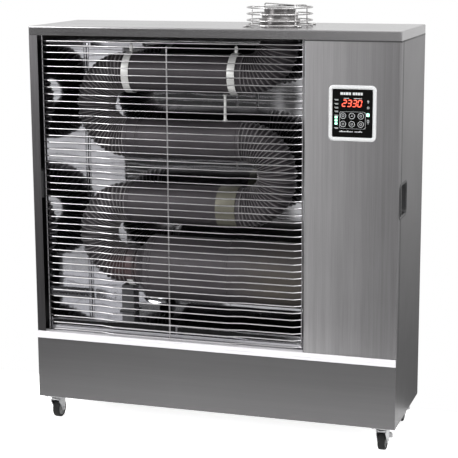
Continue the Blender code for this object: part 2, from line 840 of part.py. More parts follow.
def make_flue_cage():
    """Four rings outside two staples that cross over the flue, with feet turned out on the lid."""
    look = wire_steel()
    ring_radius = CAGE_RADIUS + 1.2 * CAGE_WIRE
    steps = 18
    rings = []
    for z in CAGE_RINGS_Z:
        profile = arc((ring_radius, lift(z)), CAGE_WIRE, 0, -tau * 3 / 4, 3)
        rings.append(turned(f"cage_ring_{z:.3f}", profile, (FLUE_X, MIDDLE, 0), look, steps=steps))
    staples = []
    foot_z = lift(BODY_HEIGHT) + CAGE_WIRE + GAP
    for index, angle in enumerate((radians(45), radians(135))):
        top_z = lift(CAGE_TOP_Z) + index * 1.2 * CAGE_WIRE
        route = (
            (CAGE_RADIUS + CAGE_FOOT, foot_z),
            (CAGE_RADIUS + 0.004, foot_z),
            (CAGE_RADIUS, foot_z + 0.005),
            (CAGE_RADIUS, top_z - 0.005),
            (CAGE_RADIUS - 0.005, top_z),
        )
        path = [(r, z) for r, z in route] + [(-r, z) for r, z in reversed(route)]
        points = [(FLUE_X + r * cos(angle), MIDDLE + r * sin(angle), z) for r, z in path]
        staples.append(tube(f"cage_staple_{index}", points, CAGE_WIRE, look, sides=0))
    cage = joined(staples[0], staples[1], *rings)
    cage.name = "flue_guard_cage"


# Burner compartment


def make_burner():
    axis_point = (BURNER_LEFT, MIDDLE, lift(CHAMBER_Z))
    right = HOUSING_RIGHT - BURNER_LEFT
    flange = CHAMBER_RADIUS + 0.012
    wall = 0.0015
    housing = [
        (HOUSING_RADIUS, right),
        (HOUSING_RADIUS, 0.003),
        (flange, 0.003),
        (flange, 0.0),
        (0.032, 0.0),
        (0.032, 0.003),
        (HOUSING_RADIUS - wall, 0.003 + wall),
        (HOUSING_RADIUS - wall, right - wall),
        (0.046, right - wall),
        (0.046, right),
    ]
    turned("burner_housing", housing, axis_point, painted_steel(), (1, 0, 0), 20)
    shaft = BLOWER_LEFT - MOTOR_LEFT
    length = MOTOR_RIGHT - MOTOR_LEFT
    motor = [
        (0.0, length),
        (MOTOR_RADIUS - 0.006, length),
        (MOTOR_RADIUS, length - 0.006),
        (MOTOR_RADIUS, 0.006),
        (MOTOR_RADIUS - 0.006, 0.0),
        (SHAFT_RADIUS, 0.0),
        (SHAFT_RADIUS, shaft),
        (0.0, shaft),
    ]
    turned("burner_motor", motor, (MOTOR_LEFT, MIDDLE, lift(CHAMBER_Z)), painted_steel(), (1, 0, 0), 16)
    nozzle = [
        (0.0, 0.085),
        (0.009, 0.085),
        (0.009, 0.006),
        (0.078, 0.005),
        (0.078, 0.003),
        (0.012, 0.003),
        (0.007, 0.0),
        (0.0, 0.0),
    ]
    turned("burner_nozzle", nozzle, (0.206, MIDDLE, lift(CHAMBER_Z)), brass(), (1, 0, 0), 16)


def make_blower_wheel():
    """A back plate on a hub, a ring of blades and a front ring."""
    width = BLOWER_RIGHT - BLOWER_LEFT
    bore = SHAFT_RADIUS + 0.0003
    origin = (BLOWER_LEFT, MIDDLE, lift(CHAMBER_Z))
    look = zinc()
    plate_profile = [
        (0.010, width),
        (0.010, 0.0035),
        (BLOWER_RADIUS, 0.003),
        (BLOWER_RADIUS, 0.0015),
        (0.010, 0.0015),
        (0.010, 0.001),
        (bore, 0.001),
        (bore, width),
    ]
    wheel = turned("blower_wheel", plate_profile, origin, look, (1, 0, 0), 16)
    ring_profile = [
        (BLOWER_RADIUS, width),
        (BLOWER_RADIUS, width - 0.003),
        (BLOWER_RADIUS - 0.012, width - 0.003),
        (BLOWER_RADIUS - 0.012, width),
    ]
    ring = turned("blower_ring", ring_profile, origin, look, (1, 0, 0), 16)
    blades = []
    for index in range(BLOWER_BLADES):
        angle = tau * index / BLOWER_BLADES
        work = bmesh.new()
        bmesh.ops.create_cube(work, size=1.0)
        bmesh.ops.scale(work, vec=(width - 0.0035, 0.010, 0.0012), verts=work.verts)
        mesh = mesh_of(f"blade_{index}", work)
        radius = BLOWER_RADIUS - 0.0065
        spot = (
            BLOWER_LEFT + width / 2,
            MIDDLE + radius * cos(angle),
            lift(CHAMBER_Z) + radius * sin(angle),
        )
        blade = place(f"blade_{index}", mesh, spot, look)
        blade.rotation_euler = (angle + radians(10), 0, 0)
        blades.append(blade)
    joined(wheel, ring, *blades)


def make_ignition_transformer():
    low = (0.290, MIDDLE - 0.035, lift(0.480))
    high = (0.350, MIDDLE + 0.035, lift(0.545))
    body = box("ignition_transformer", low, high, black_plastic())
    foot_low = (0.2486, MIDDLE - 0.045, lift(0.500))
    foot_high = (0.2900 + 0.001, MIDDLE + 0.045, lift(0.503))
    joined(body, box("transformer_foot", foot_low, foot_high, zinc()))


def make_fuel_system():
    look = painted_steel()
    tank_box = box(
        "fuel_tank",
        (TANK_LEFT, TANK_FRONT, lift(TANK_BOTTOM_Z)),
        (TANK_RIGHT, TANK_REAR, lift(TANK_TOP_Z)),
        look,
    )
    start = Vector((NECK_X, NECK_Y, lift(TANK_TOP_Z - 0.008)))
    along = Vector((0, sin(NECK_TILT), cos(NECK_TILT)))
    end = start + along * NECK_LENGTH
    tank = joined(tank_box, rod("filler_neck", start, end, 0.0205, look, 24))
    cavity = box(
        "tank_cavity",
        (TANK_LEFT + TANK_WALL, TANK_FRONT + TANK_WALL, lift(TANK_BOTTOM_Z + TANK_WALL)),
        (TANK_RIGHT - TANK_WALL, TANK_REAR - TANK_WALL, lift(TANK_TOP_Z - TANK_WALL)),
        look,
    )
    bore = rod("neck_bore", start - along * 0.015, end + along * 0.01, 0.018, look, 24)
    cut(tank, cavity, bore)
    cap = [
        (0.0, CAP_HEIGHT),
        (CAP_RADIUS - 0.002, CAP_HEIGHT),
        (CAP_RADIUS, CAP_HEIGHT - 0.002),
        (CAP_RADIUS, 0.0),
        (0.0212, 0.0),
        (0.0212, 0.0068),
        (0.0, 0.0068),
    ]
    turned("fuel_cap", cap, start + along * (NECK_LENGTH - 0.006), black_plastic(), along, 16)
    pump_low = (PUMP_X - 0.025, PUMP_Y - 0.022, lift(0.0035))
    pump_high = (PUMP_X + 0.025, PUMP_Y + 0.022, lift(0.052))
    stem = rod("pump_coil", (PUMP_X, PUMP_Y, lift(0.050)), (PUMP_X, PUMP_Y, lift(0.085)), 0.014, look, 20)
    joined(box("fuel_pump", pump_low, pump_high, zinc(), 0.003), stem)
    supply = [(TANK_RIGHT + GAP, PUMP_Y, lift(LINE_Z)), (PUMP_X - 0.025 - GAP, PUMP_Y, lift(LINE_Z))]
    tube("supply_line", supply, LINE_RADIUS, brass(), sides=1)
    rise_z = CHAMBER_Z - HOUSING_RADIUS
    feed = [
        (PUMP_X, PUMP_Y, lift(0.085) + GAP),
        (PUMP_X, PUMP_Y, lift(0.150)),
        (PUMP_X - 0.008, PUMP_Y - 0.015, lift(0.180)),
        (PUMP_X - 0.020, MIDDLE + 0.008, lift(0.205)),
        (PUMP_X - 0.024, MIDDLE, lift(0.222)),
        (PUMP_X - 0.024, MIDDLE, lift(rise_z) - GAP),
    ]
    tube("burner_line", feed, LINE_RADIUS, brass(), sides=1)


def make_power_inlet():
    """A strain relief through the rear panel, with the bore that the supply cord leaves by."""
    profile = [(0.0118, 0.0242), (0.0118, 0.004), (0.0160, 0.004), (0.0160, 0.0), (0.0045, 0.0), (0.0045, 0.0242)]
    turned("power_inlet", profile, (0.400, REAR - 0.0247, lift(0.090)), black_plastic(), (0, 1, 0), 16)


# Control panel


def make_control_panel():
    centre_z = lift(PANEL_Z)
    upright = (pi / 2, 0, 0)
    plate(
        "control_bezel",
        [rounded_rectangle(*BEZEL_SIZE, 0.011), rounded_rectangle(FACE_SIZE[0] + 0.001, FACE_SIZE[1] + 0.001, 0.004)],
        BEZEL_PROUD - GAP,
        (PANEL_X, FRONT - BEZEL_PROUD / 2 - GAP / 2, centre_z),
        silver_plastic(),
        upright,
    )
    holes = [
        circle((x - PANEL_X, z - PANEL_Z), BUTTON_RADIUS + GAP, 12) for x in BUTTON_COLUMNS_X for z in BUTTON_ROWS_Z
    ]
    plate(
        "control_face",
        [rounded_rectangle(*FACE_SIZE, 0.0035), *holes],
        0.004,
        (PANEL_X, FRONT + 0.0002, centre_z),
        black_gloss(),
        upright,
    )
    for row, z in enumerate(BUTTON_ROWS_Z):
        for column, x in enumerate(BUTTON_COLUMNS_X):
            name = f"button_{3 * row + column + 1}"
            profile = [
                (0.0, 0.0044),
                (BUTTON_RADIUS - 0.0012, 0.0044),
                (BUTTON_RADIUS, 0.0036),
                (BUTTON_RADIUS, 0.0),
                (0.0, 0.0),
            ]
            turned(name, profile, (x, FRONT + 0.0018, lift(z)), black_gloss(), (0, -1, 0), 12)
    low = (PANEL_X - 0.046, FRONT + 0.0100, centre_z - 0.056)
    high = (PANEL_X + 0.046, FRONT + 0.0116, centre_z + 0.056)
    box("control_board", low, high, board_green())


# Casters


def leg_outline(braked):
    """A fork leg seen from the side, as (y, z) from the swivel axis at floor level."""
    axle = (CASTER_TRAIL, WHEEL_RADIUS)
    ear = 0.008
    front = [(-0.0125, CROWN_BOTTOM + 0.001)]
    lower = arc(axle, ear, radians(200), radians(350), 5)
    if braked:
        pivot = (LEVER_PIVOT_Y, LEVER_PIVOT_Z)
        rear = arc(pivot, 0.0055, radians(-45), radians(90), 4)
    else:
        rear = [(0.026, CROWN_BOTTOM + 0.001)]
    return front + lower + rear


def make_fork(name, x, y, braked):
    """Lower ball race, crown, two legs and the axle, as one pressed and riveted piece."""
    look = zinc()
    race_low = (x, y, CROWN_BOTTOM + 0.001)
    race_high = (x, y, CROWN_TOP)
    fork = rod(f"{name}_fork", race_low, race_high, RACE_RADIUS - 0.0005, look, 20)
    outside = LEG_INSIDE + LEG_THICKNESS
    rear = LEVER_PIVOT_Y if braked else 0.026
    crown_half = outside - GAP
    crown_low = (x - crown_half, y - 0.0135, CROWN_BOTTOM)
    crown_high = (x + crown_half, y + rear - 0.006, CROWN_BOTTOM + 0.0025)
    pieces = [box(f"{name}_crown", crown_low, crown_high, look)]
    outlines = [leg_outline(braked)]
    if braked:
        outlines.append(circle((LEVER_PIVOT_Y, LEVER_PIVOT_Z), 0.0028, 10))
    for side in (-1, 1):
        centre = (x + side * (LEG_INSIDE + LEG_THICKNESS / 2), y, 0)
        pieces.append(plate(f"{name}_leg_{side}", outlines, LEG_THICKNESS, centre, look, (pi / 2, 0, pi / 2)))
    axle_y = y + CASTER_TRAIL
    reach = outside + 0.002
    ends = ((x - reach, axle_y, WHEEL_RADIUS), (x + reach, axle_y, WHEEL_RADIUS))
    pieces.append(rod(f"{name}_axle", *ends, AXLE_RADIUS, look, 12))
    joined(fork, *pieces)


def make_wheel(name, x, y):
    half = WHEEL_WIDTH / 2
    bore = AXLE_RADIUS + 0.0003
    profile = [
        (WHEEL_RADIUS - 0.003, half - 0.001),
        (WHEEL_RADIUS, half - 0.005),
        (WHEEL_RADIUS, 0.005 - half),
        (WHEEL_RADIUS - 0.003, 0.001 - half),
        (0.017, 0.0025 - half),
        (bore, -half),
        (bore, half),
        (0.017, half - 0.0025),
    ]
    axle = (x, y + CASTER_TRAIL, WHEEL_RADIUS)
    turned(f"{name}_wheel", profile, axle, black_rubber(), (1, 0, 0), 24)


def make_brake_lever(name, x, y):
    """A pedal on a cross pin, narrow between the legs and wide behind the wheel."""
    look = zinc()
    pivot = Vector((x, y + LEVER_PIVOT_Y, LEVER_PIVOT_Z))
    slope = atan2(0.016, 0.032)
    down = Vector((0, sin(slope), -cos(slope)))
    reach = LEG_INSIDE + LEG_THICKNESS + 0.0015
    side = Vector((reach, 0, 0))
    pin = rod(f"{name}_brake_lever", pivot - side, pivot + side, 0.0024, look, 10)
    narrow = pedal_piece(f"{name}_pedal_neck", pivot + down * 0.008, (2 * LEG_INSIDE - 0.002, 0.0025, 0.016), slope)
    wide = pedal_piece(f"{name}_pedal", pivot + down * 0.0245, (LEVER_WIDTH, 0.0025, 0.019), slope)
    joined(pin, narrow, wide)


def pedal_piece(name, centre, size, slope):
    """A flat piece of a pedal, hanging back from the upright by the slope."""
    half = Vector(size) / 2
    made = box(name, -half, half, zinc())
    made.location = centre
    made.rotation_euler = (slope, 0, 0)
    return made


def make_casters():
    for name, x, y, braked in caster_places():
        make_fork(name, x, y, braked)
        make_wheel(name, x, y)
        if braked:
            make_brake_lever(name, x, y)


def main():
    clear_scene()
    make_lid()
    make_side_panels()
    make_rear_panel()
    make_front()
    make_base_plate()
    make_handle_cup("left_handle_cup", -1)
    make_handle_cup("right_handle_cup", 1)
    make_reflectors()
    make_guard()
    make_tubes()
    make_combustion_chamber()
    make_tube_holders()
    make_flue_collar()
    make_flue_cage()
    make_burner()
    make_blower_wheel()
    make_ignition_transformer()
    make_fuel_system()
    make_power_inlet()
    make_control_panel()
    make_casters()


main()
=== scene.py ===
"""The looks of an upright oil-fired infrared tube heater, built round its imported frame.

Metres, +Z up, front towards -Y. Sheet panels keep the frame's own shape and get a finish. Wires, corrugated
bends, turned parts, the control panel and the casters are made again here in fine detail.
"""

import json
import logging
from collections.abc import Iterable, Sequence
from dataclasses import dataclass, field
from enum import Enum
from math import atan2, cos, pi, radians, sin, tan, tau

import bmesh
import bpy
from mathutils import Matrix, Quaternion, Vector

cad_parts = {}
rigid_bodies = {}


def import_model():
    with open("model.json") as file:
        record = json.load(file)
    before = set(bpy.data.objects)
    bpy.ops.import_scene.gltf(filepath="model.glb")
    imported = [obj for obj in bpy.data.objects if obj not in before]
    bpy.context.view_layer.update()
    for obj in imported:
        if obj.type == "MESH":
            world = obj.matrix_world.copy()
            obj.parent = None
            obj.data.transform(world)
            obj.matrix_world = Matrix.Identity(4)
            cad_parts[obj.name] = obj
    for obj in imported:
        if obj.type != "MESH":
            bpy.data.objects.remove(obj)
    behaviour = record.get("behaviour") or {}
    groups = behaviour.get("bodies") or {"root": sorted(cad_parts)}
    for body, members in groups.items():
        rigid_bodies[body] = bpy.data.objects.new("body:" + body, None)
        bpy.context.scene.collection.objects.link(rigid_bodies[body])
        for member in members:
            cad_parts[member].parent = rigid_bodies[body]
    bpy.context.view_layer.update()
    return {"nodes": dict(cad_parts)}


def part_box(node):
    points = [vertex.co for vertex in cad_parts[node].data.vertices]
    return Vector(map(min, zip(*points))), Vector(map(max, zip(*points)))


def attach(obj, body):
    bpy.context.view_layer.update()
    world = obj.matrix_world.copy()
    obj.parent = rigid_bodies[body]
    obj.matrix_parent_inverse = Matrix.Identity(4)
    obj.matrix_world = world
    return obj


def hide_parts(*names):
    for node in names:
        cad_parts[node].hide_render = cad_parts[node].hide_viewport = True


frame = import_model()

LOG = logging.getLogger("tube_heater")
CABINET = "cabinet"
X_AXIS = Vector((1.0, 0.0, 0.0))
Y_AXIS = Vector((0.0, 1.0, 0.0))
Z_AXIS = Vector((0.0, 0.0, 1.0))
TRAIL = 0.014

Colour = tuple[float, float, float]
Flat = tuple[float, float]


class Grain(Enum):
    """Which way a sheet is brushed, as the stretch of its noise along X, Y and Z."""

    UPRIGHT = (1.0, 1.0, 0.012)
    ACROSS = (0.012, 1.0, 1.0)
    NONE = (1.0, 1.0, 1.0)


class Digit(Enum):
    """The lit bars of a seven-bar figure: clockwise from the top, and then the middle."""

    ZERO = "1111110"
    TWO = "1101101"
    THREE = "1111001"


# Node trees


class Graph:
    """Adds nodes to a tree and links them."""

    def __init__(self, tree: bpy.types.NodeTree) -> None:
        """Args: tree: the tree that the nodes go in."""
        self.tree = tree

    def add(self, kind: str, inputs: dict | None = None, **settings: object) -> bpy.types.Node:
        """Adds one node.

        Args:
            kind: the node's type.
            inputs: a constant, or the socket to link, for each input by name or number.
            settings: the node's own properties.
        Returns:
            The node.
        """
        made = self.tree.nodes.new(kind)
        for key, value in settings.items():
            setattr(made, key, value)
        for key, value in (inputs or {}).items():
            self.feed(made.inputs[key], value)
        return made

    def feed(self, socket: bpy.types.NodeSocket, value: object) -> None:
        """Links the value to the socket, or sets it there if it is a constant."""
        if isinstance(value, bpy.types.NodeSocket):
            self.tree.links.new(value, socket)
        else:
            socket.default_value = value

    def math(self, operation: str, *values: object) -> bpy.types.NodeSocket:
        """The result of a Math node."""
        return self.add("ShaderNodeMath", dict(enumerate(values)), operation=operation).outputs[0]


class Shader(Graph):
    """A material's tree, round its Principled shader."""

    def __init__(self, tree: bpy.types.NodeTree) -> None:
        """Args: tree: a new material's tree."""
        super().__init__(tree)
        self.surface = tree.nodes["Principled BSDF"]

    def where(
        self, stretch: Sequence[float] = (1.0, 1.0, 1.0), shift: Sequence[float] = (0.0, 0.0, 0.0)
    ) -> bpy.types.NodeSocket:
        """Object coordinates, stretched and then shifted."""
        coordinates = self.add("ShaderNodeTexCoord").outputs["Object"]
        mapped = self.add("ShaderNodeMapping", {"Vector": coordinates, "Location": shift, "Scale": stretch})
        return mapped.outputs[0]

    def noise(self, vector: bpy.types.NodeSocket, scale: float, detail: float, rough: float = 0.6):
        """A noise value at a place."""
        sizes = {"Vector": vector, "Scale": scale, "Detail": detail, "Roughness": rough}
        return self.add("ShaderNodeTexNoise", sizes).outputs[0]

    def spread(
        self, value: bpy.types.NodeSocket, low: float, high: float, start: float = 0.3, end: float = 0.7
    ) -> bpy.types.NodeSocket:
        """The value, taken from start and end to low and high."""
        return self.add("ShaderNodeMapRange", {0: value, 1: start, 2: end, 3: low, 4: high}).outputs[0]

    def weigh(self, first: bpy.types.NodeSocket, share: float, second: bpy.types.NodeSocket, rest: float):
        """Two values, each multiplied by its weight, added up."""
        return self.math("ADD", self.math("MULTIPLY", first, share), self.math("MULTIPLY", second, rest))

    def blend(self, factor: object, first: object, second: object) -> bpy.types.NodeSocket:
        """A colour between two, each a colour or a socket."""
        ends = [end if isinstance(end, bpy.types.NodeSocket) else (*end, 1.0) for end in (first, second)]
        return self.add("ShaderNodeMix", {0: factor, 6: ends[0], 7: ends[1]}, data_type="RGBA").outputs[2]

    def relief(self, height: bpy.types.NodeSocket, depth: float) -> None:
        """Bumps the surface by a height, depth metres deep."""
        bump = self.add("ShaderNodeBump", {"Height": height, "Distance": depth, "Strength": 1.0})
        self.feed(self.surface.inputs["Normal"], bump.outputs[0])

    def set(self, name: str, value: object) -> None:
        """Sets or links one input of the Principled shader."""
        self.feed(self.surface.inputs[name], value)


# Finishes


@dataclass(frozen=True)
class Finish:
    """A finish whose two colours follow a noise, with roughness and relief that follow it too.

    Attributes:
        name: the material's name.
        colour: the main colour.
        fleck: the colour that it varies to.
        roughness: its least and greatest roughness.
        metallic: 1 for bare metal, 0 for paint and plastic.
        grain: which way the noise is stretched.
        scale: the noise's features to the metre.
        detail: the noise's octaves.
        depth: how deep the relief is.
        coat: the weight of a clear coat.
        specular: how strongly it shines, 0.5 being usual.
    """

    name: str
    colour: Colour
    fleck: Colour
    roughness: Flat
    metallic: float = 0.0
    grain: Grain = Grain.NONE
    scale: float = 90.0
    detail: float = 5.0
    depth: float = 0.0
    coat: float = 0.0
    specular: float = 0.5

    def material(self) -> bpy.types.Material:
        """The material, made the first time that it is asked for."""
        made = bpy.data.materials.get(self.name)
        if made is None:
            made = bpy.data.materials.new(self.name)
            made.use_nodes = True
            made.diffuse_color = (*self.colour, 1.0)
            self.paint(Shader(made.node_tree))
        return made

    def paint(self, shader: Shader) -> None:
        """Fills in the material's tree."""
        fine = shader.noise(shader.where(self.grain.value), self.scale, self.detail)
        patches = shader.noise(shader.where(), 9.0, 3.0)
        shader.set("Base Color", shader.blend(shader.spread(fine, 0.0, 1.0), self.colour, self.fleck))
        shader.set("Roughness", shader.spread(shader.weigh(fine, 0.6, patches, 0.4), *self.roughness))
        shader.set("Metallic", self.metallic)
        shader.set("Specular IOR Level", self.specular)
        if self.depth:
            shader.relief(fine, self.depth)
        if self.coat:
            shader.set("Coat Weight", self.coat)
            shader.set("Coat Roughness", 0.05)


@dataclass(frozen=True)
class BrushedSheet(Finish):
    """Brushed sheet with light and shade painted on as a gradient of tone from one end to the other.

    Attributes:
        painted_light_drift: the painted light and shade, as the tone's multiple at each end.
        ends: where the painted gradient starts and stops.
        along: the axis that the painted gradient runs along, 0 for X and 2 for Z.
    """

    painted_light_drift: Flat = (1.0, 1.0)
    ends: Flat = (-0.5, 0.5)
    along: int = 0

    def paint(self, shader: Shader) -> None:
        """Streaks of two widths, multiplied by a painted gradient of light and shade."""
        coat = shader.noise(shader.where(self.grain.value), self.scale, self.detail)
        broad = shader.noise(shader.where(self.grain.value, (3.1, 1.7, 0.4)), self.scale * 0.22, 2.0)
        streaks = shader.weigh(coat, 0.55, broad, 0.45)
        sheet = shader.blend(shader.spread(streaks, 0.0, 1.0, 0.36, 0.64), self.colour, self.fleck)
        place = shader.add("ShaderNodeSeparateXYZ", {0: shader.where()}).outputs[self.along]
        # Painted light and shade: the sheet's tone is multiplied by a gradient along one axis.
        painted_light = shader.spread(place, *self.painted_light_drift, *self.ends)
        grey = shader.add("ShaderNodeCombineColor", {0: painted_light, 1: painted_light, 2: painted_light}).outputs[0]
        shaded_inputs = {0: 1.0, 6: sheet, 7: grey}
        mixed = shader.add("ShaderNodeMix", shaded_inputs, data_type="RGBA", blend_type="MULTIPLY")
        shader.set("Base Color", mixed.outputs[2])
        smudges = shader.noise(shader.where(), 7.0, 3.0)
        shader.set("Roughness", shader.spread(shader.weigh(streaks, 0.7, smudges, 0.3), *self.roughness))
        shader.set("Metallic", self.metallic)
        shader.relief(coat, self.depth)


@dataclass(frozen=True)
class MirrorSheet(Finish):
    """Polished thin sheet: nearly a mirror, with the long waves that thin sheet has."""

    def paint(self, shader: Shader) -> None:
        """Slow waves in the relief, faint haze in the roughness."""
        waves = shader.noise(shader.where(), 6.0, 1.5)
        haze = shader.noise(shader.where(), self.scale, self.detail)
        shader.set("Base Color", shader.blend(shader.spread(haze, 0.0, 1.0), self.colour, self.fleck))
        shader.set("Roughness", shader.spread(haze, *self.roughness))
        shader.set("Metallic", self.metallic)
        shader.relief(waves, self.depth)


@dataclass(frozen=True)
class HotSteel(Finish):
    """Tube steel darkened by heat, with a straw and a red-brown temper colour near the flame and a painted
    highlight on the folds' crests.

    Attributes:
        straw: the temper colour on the burner's side of the chamber.
        red: the temper colour where the chamber narrows.
        crest_highlight: a painted highlight, the pale colour laid along the folds' crests.
    """

    straw: Colour = (0.066, 0.056, 0.036)
    red: Colour = (0.095, 0.034, 0.030)
    crest_highlight: Colour = (0.30, 0.285, 0.29)

    def paint(self, shader: Shader) -> None:
        """Scale and soot, the two tempered zones, and a painted highlight along the crests."""
        scale = shader.noise(shader.where(), self.scale, self.detail)
        clouds = shader.noise(shader.where((1.0, 1.0, 2.2)), 7.0, 4.0)
        base = shader.blend(shader.spread(clouds, 0.0, 1.0), self.colour, self.fleck)
        for colour, centre, size in ((self.red, (-0.285, 0.41), 0.055), (self.straw, (0.17, 0.41), 0.16)):
            stretch = (1.0 / size, 0.0, 1.0 / size)
            shift = (-centre[0] / size, 0.0, -centre[1] / size)
            reach = {0: shader.where(stretch, shift)}
            ball = shader.add("ShaderNodeTexGradient", reach, gradient_type="SPHERICAL")
            zone = shader.math("MULTIPLY", shader.spread(ball.outputs[1], 0.0, 0.7, 0.0, 0.8), clouds)
            base = shader.blend(zone, base, colour)
        # Painted highlight: the fold crests are lightened towards a pale grey.
        crest = shader.add("ShaderNodeAttribute", attribute_name="crest").outputs["Fac"]
        shader.set("Base Color", shader.blend(shader.math("MULTIPLY", crest, 0.9), base, self.crest_highlight))
        shader.set("Roughness", shader.spread(scale, *self.roughness))
        shader.set("Metallic", self.metallic)
        shader.relief(scale, self.depth)


@dataclass(frozen=True)
class Lamp(Finish):
    """A lit lens: an even glow that is a little hotter in places.

    Attributes:
        strength: how bright it glows.
    """

    strength: float = 2.0

    def paint(self, shader: Shader) -> None:
        """Colour by noise, glow at one strength."""
        super().paint(shader)
        fine = shader.noise(shader.where(), self.scale, self.detail)
        shader.set("Emission Color", shader.blend(shader.spread(fine, 0.0, 1.0), self.colour, self.fleck))
        shader.set("Emission Strength", self.strength)


# Painted light and shade: the drift makes the column lighter at its left end and darker at its right.
COLUMN_SHEET = BrushedSheet(
    "brushed_column_sheet", (0.350, 0.343, 0.350), (0.430, 0.421, 0.430), (0.30, 0.44), 0.92, Grain.UPRIGHT,
    620.0, 5.0, 0.00004, painted_light_drift=(1.25, 0.66), ends=(0.249, 0.486),
)
# Painted light and shade: the drift makes the sides and rear darker towards the bottom and lighter towards
# the top.
SIDE_SHEET = BrushedSheet(
    "brushed_side_sheet", (0.090, 0.087, 0.090), (0.125, 0.121, 0.125), (0.32, 0.44), 0.92, Grain.UPRIGHT,
    620.0, 5.0, 0.00003, painted_light_drift=(0.57, 1.60), ends=(0.25, 1.0), along=2,
)
# Painted light: the drift brightens the lid, a little more towards the right.
LID_SHEET = BrushedSheet(
    "brushed_lid_sheet", (0.195, 0.191, 0.195), (0.235, 0.231, 0.235), (0.18, 0.27), 0.92, Grain.ACROSS,
    620.0, 5.0, 0.00003, painted_light_drift=(1.25, 1.30), ends=(-0.486, 0.4),
)
# Painted shade: the drift makes the skirt darker towards its left end.
SKIRT_SHEET = BrushedSheet(
    "satin_skirt_sheet", (0.108, 0.106, 0.108), (0.118, 0.116, 0.118), (0.42, 0.52), 0.85, Grain.ACROSS,
    300.0, 4.0, 0.00002, painted_light_drift=(0.80, 1.0), ends=(-0.486, -0.1),
)
TRIM = Finish("rubbed_trim", (0.53, 0.52, 0.54), (0.61, 0.60, 0.62), (0.24, 0.36), 0.25, Grain.ACROSS, 500.0)
MIRROR = MirrorSheet(
    "polished_reflector", (0.66, 0.66, 0.68), (0.72, 0.72, 0.74), (0.03, 0.06), 1.0, Grain.NONE,
    30.0, 4.0, 0.0016,
)
TUBE = HotSteel(
    "heat_darkened_steel", (0.026, 0.023, 0.026), (0.044, 0.039, 0.043), (0.42, 0.62), 0.45, Grain.NONE,
    420.0, 5.0, 0.00012,
)
SLEEVE = Finish(
    "straw_sleeve", (0.095, 0.091, 0.072), (0.125, 0.120, 0.096), (0.40, 0.55), 0.6, Grain.ACROSS,
    300.0, 4.0, 0.00005,
)
WIRE = Finish(
    "bright_guard_wire", (0.42, 0.41, 0.42), (0.56, 0.55, 0.56), (0.24, 0.36), 1.0, Grain.ACROSS, 400.0,
)
CAGE_WIRE = Finish("cage_wire", (0.42, 0.41, 0.41), (0.62, 0.61, 0.61), (0.18, 0.34), 1.0, Grain.NONE, 260.0)
ZINC = Finish(
    "zinc_coat", (0.26, 0.26, 0.27), (0.46, 0.46, 0.46), (0.28, 0.46), 1.0, Grain.NONE, 120.0, 4.0, 0.00004,
)
BAND = Finish("bright_band", (0.46, 0.46, 0.45), (0.58, 0.58, 0.57), (0.30, 0.48), 0.35, Grain.ACROSS, 200.0)
FLUE = Finish(
    "dull_flue_steel", (0.13, 0.126, 0.126), (0.32, 0.31, 0.31), (0.26, 0.42), 1.0, Grain.ACROSS, 160.0,
)
PAINT = Finish("dark_paint", (0.020, 0.020, 0.022), (0.034, 0.034, 0.036), (0.42, 0.58), depth=0.00006)
RUBBER = Finish(
    "tread_rubber", (0.006, 0.006, 0.006), (0.012, 0.012, 0.012), (0.60, 0.80), depth=0.0001, specular=0.12,
)
HUB = Finish(
    "grey_hub_plastic", (0.09, 0.09, 0.09), (0.14, 0.14, 0.14), (0.36, 0.50), scale=300.0, depth=0.00003,
)
PLASTIC = Finish(
    "moulded_black", (0.014, 0.014, 0.015), (0.024, 0.024, 0.025), (0.34, 0.50), scale=900.0, depth=0.00004,
)
GLOSS = Finish(
    "gloss_face", (0.002, 0.002, 0.002), (0.004, 0.004, 0.004), (0.10, 0.16), scale=40.0, specular=0.03,
)
SILVER = Finish(
    "silver_paint", (0.46, 0.465, 0.47), (0.54, 0.545, 0.55), (0.20, 0.30), 0.25, scale=700.0, coat=0.2,
)
BRASS = Finish("turned_brass", (0.62, 0.43, 0.18), (0.74, 0.55, 0.27), (0.22, 0.38), 1.0, scale=150.0)
BOARD = Finish("solder_mask", (0.012, 0.085, 0.035), (0.020, 0.12, 0.05), (0.30, 0.45), scale=400.0)
PRINT = Finish("white_print", (0.36, 0.37, 0.38), (0.50, 0.51, 0.52), (0.45, 0.60), scale=900.0)
RED_LIGHT = Lamp("red_figures", (1.0, 0.045, 0.020), (1.0, 0.13, 0.07), (0.3, 0.4), scale=900.0, strength=1.7)
GREEN_LIGHT = Lamp(
    "green_lamps", (0.28, 0.95, 0.60), (0.55, 1.0, 0.78), (0.3, 0.4), scale=900.0, strength=1.1,
)
FLOOR = Lamp("pale_floor", (0.90, 0.90, 0.90), (0.93, 0.93, 0.93), (0.55, 0.70), scale=3.0, strength=0.75)


# Shapes


def sweep(start: float, end: float, steps: int = 48) -> list[float]:
    """Even angles from start to end."""
    return [start + (end - start) * step / steps for step in range(steps + 1)]


def arc(centre: Flat, radius: float, start: float, end: float, steps: int) -> list[Flat]:
    """Points of an arc in a plane, from angle start to angle end."""
    angles = sweep(start, end, steps)
    return [(centre[0] + radius * cos(angle), centre[1] + radius * sin(angle)) for angle in angles]


def circle(radius: float, sides: int, start: float = 0.0) -> list[Flat]:
    """Even points round a circle about the origin."""
    angles = [tau * k / sides + start for k in range(sides)]
    return [(radius * cos(angle), radius * sin(angle)) for angle in angles]


def swell(radius: float, along: float, bulge: Flat, start: float, end: float, steps: int) -> list[Flat]:
    """A round swelling in a (radius, distance along) profile, from angle start to angle end."""
    return [(radius + bulge[0] * v, along + bulge[1] * u) for u, v in arc((0.0, 0.0), 1.0, start, end, steps)]


